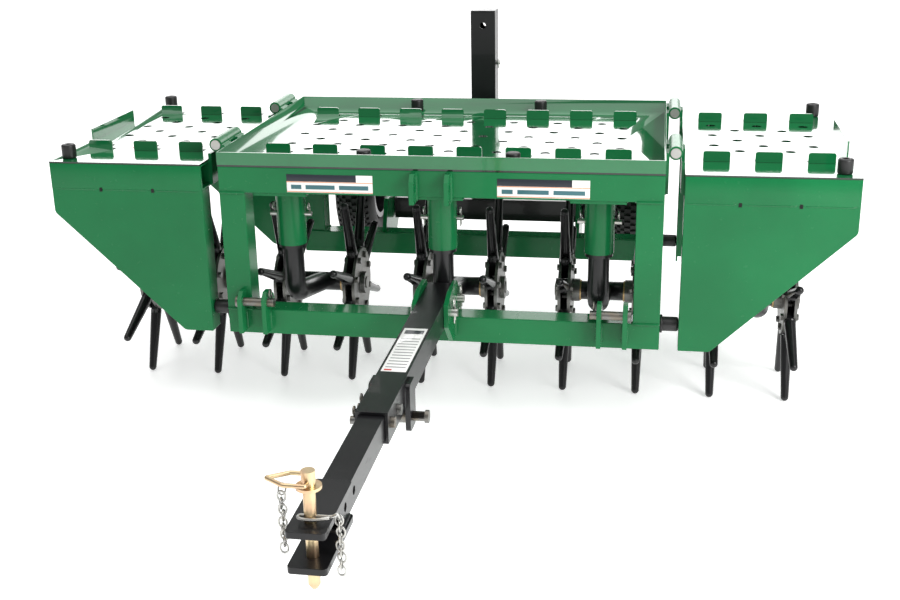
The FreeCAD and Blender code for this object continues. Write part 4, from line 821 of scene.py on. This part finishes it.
class AERATOR_OT_skirt_marks(AeratorOperator):
    """Add the deck's folded lip over each skirt, its seam weld, and near-black blocks of painted shade at the two
    notches at its ends
    """

    bl_idname = "aerator.skirt_marks"
    bl_label = "Skirt Seams"

    def execute(self, context):
        seam = -78.0
        notches = (560, 667)
        for side_name, side in SIDES:
            body = side_name + "_wing"
            lips, welds, marks = bmesh.new(), bmesh.new(), bmesh.new()
            for face, out in ((0.0, -1), (DEPTH, 1)):
                inner, outer = sorted((side * 461, side * 769.4))
                near, far = sorted((face - out * 0.5, face + out * 0.9))
                slab(lips, spot(inner, near, seam), spot(outer, far, -28.4), 0.0004)
                for start, end in ((466, 553), (567, 660), (674, 764)):
                    bead(welds, spot(side * start, face - out * 1.9, seam - 0.6),
                         spot(side * end, face - out * 1.9, seam - 0.6))
                # Painted shade: a near-black block set into the skirt at each notch stands for the shade seen through
                # it.
                for x in notches:
                    slab(marks, spot(side * x - 3, near, seam - 5), spot(side * x + 3, face + out * 1.0, seam + 3),
                         0.0004)
            new_piece(side_name + "_wing_lips", lips, body, "green_paint")
            new_piece(side_name + "_skirt_seam", welds, body, "weld")
            new_piece(side_name + "_skirt_notch_shade", marks, body, "shade")
        return {"FINISHED"}


class AERATOR_OT_stage(AeratorOperator):
    """Set up the floor, the lights and the camera"""

    bl_idname = "aerator.stage"
    bl_label = "Studio"

    def area(self, name, place, target, size, power, tint=(1, 1, 1)):
        data = bpy.data.lights.new(name, "AREA")
        data.shape = "RECTANGLE"
        data.size, data.size_y = size
        data.energy = power
        data.color = tint
        light = bpy.data.objects.new(name, data)
        light.location = place
        light.rotation_euler = (Vector(target) - Vector(place)).to_track_quat("-Z", "Y").to_euler()
        light.visible_camera = False
        bpy.context.scene.collection.objects.link(light)

    def floor(self):
        shape = bmesh.new()
        bmesh.ops.create_grid(shape, x_segments=8, y_segments=8, size=30.0)
        mesh = bpy.data.meshes.new("studio_floor")
        shape.to_mesh(mesh)
        shape.free()
        floor = bpy.data.objects.new("studio_floor", mesh)
        bpy.context.scene.collection.objects.link(floor)
        finish = Finish("studio_floor_paint")
        grain = finish.noise(3.0)
        mesh.materials.append(finish.done(Base_Color=finish.mix(grain, (0.95, 0.95, 0.95, 1), (0.97, 0.97, 0.97, 1)),
                                          Roughness=0.55, Normal=finish.bump(grain, 0.02, 0.001),
                                          Emission_Color=(1.0, 1.0, 1.0, 1.0), Emission_Strength=0.50))

    def camera(self, lens):
        yaw, pitch, roll = math.radians(9.717), math.radians(19.16), math.radians(-1.05)
        ahead = Vector((-math.sin(yaw) * math.cos(pitch), math.cos(yaw) * math.cos(pitch), -math.sin(pitch)))
        right = Vector((math.cos(yaw), math.sin(yaw), 0))
        up = right.cross(ahead)
        turned = right * math.cos(roll) + up * math.sin(roll)
        top = up * math.cos(roll) - right * math.sin(roll)
        data = bpy.data.cameras.new("camera")
        data.lens = lens
        data.sensor_width = 36.0
        data.clip_end = 100.0
        camera = bpy.data.objects.new("camera", data)
        camera.matrix_world = Matrix.Translation(spot(406.4, -2230.7, 504.6)) @ Matrix(
            (turned, top, -ahead)).transposed().to_4x4()
        bpy.context.scene.collection.objects.link(camera)
        bpy.context.scene.camera = camera

    def execute(self, context):
        settings = context.scene.aerator_stage
        world = context.scene.world or bpy.data.worlds.new("studio")
        context.scene.world = world
        world.use_nodes = True
        background = world.node_tree.nodes["Background"]
        background.inputs["Color"].default_value = (1, 1, 1, 1)
        background.inputs["Strength"].default_value = settings.sky
        context.scene.view_settings.view_transform = "Standard"
        self.floor()
        self.area("key_light", (2.2, -1.5, 1.7), (0.4, 0.1, 0.35), (1.4, 1.4), settings.key)
        self.area("overhead", (-0.4, 0.2, 5.0), (-0.4, 0.2, 0), (7.0, 7.0), settings.key * 3.6)
        self.area("back_card", (-2.4, 13.0, 3.4), (0, 0.2, 0.45), (18.0, 3.5), settings.card)
        self.camera(settings.lens)
        return {"FINISHED"}


STEPS = (AERATOR_OT_frame, AERATOR_OT_wings, AERATOR_OT_heads, AERATOR_OT_welds,
         AERATOR_OT_labels, AERATOR_OT_bumpers, AERATOR_OT_hitch, AERATOR_OT_lift, AERATOR_OT_wheels,
         AERATOR_OT_skirt_marks, AERATOR_OT_stage)


class AERATOR_PT_steps(bpy.types.Panel):
    """Lists the building steps and their settings"""

    bl_idname = "AERATOR_PT_steps"
    bl_label = "Core Aerator"
    bl_space_type = "VIEW_3D"
    bl_region_type = "UI"
    bl_category = "Aerator"

    def draw(self, context):
        for step in STEPS:
            self.layout.operator(step.bl_idname)
        for group in (context.scene.aerator_paint, context.scene.aerator_shape, context.scene.aerator_stage):
            box = self.layout.box()
            for name in group.__annotations__:
                box.prop(group, name)


GROUPS = {"aerator_paint": AeratorPaint, "aerator_shape": AeratorShape, "aerator_stage": AeratorStage}


def register():
    for group in (*GROUPS.values(), *STEPS, AERATOR_PT_steps):
        bpy.utils.register_class(group)
    for name, group in GROUPS.items():
        setattr(bpy.types.Scene, name, PointerProperty(type=group))


def unregister():
    for name in GROUPS:
        delattr(bpy.types.Scene, name)
    for group in reversed((*GROUPS.values(), *STEPS, AERATOR_PT_steps)):
        bpy.utils.unregister_class(group)


def main():
    register()
    for step in STEPS:
        family, name = step.bl_idname.split(".")
        getattr(getattr(bpy.ops, family), name)()


if __name__ == "__main__":
    main()
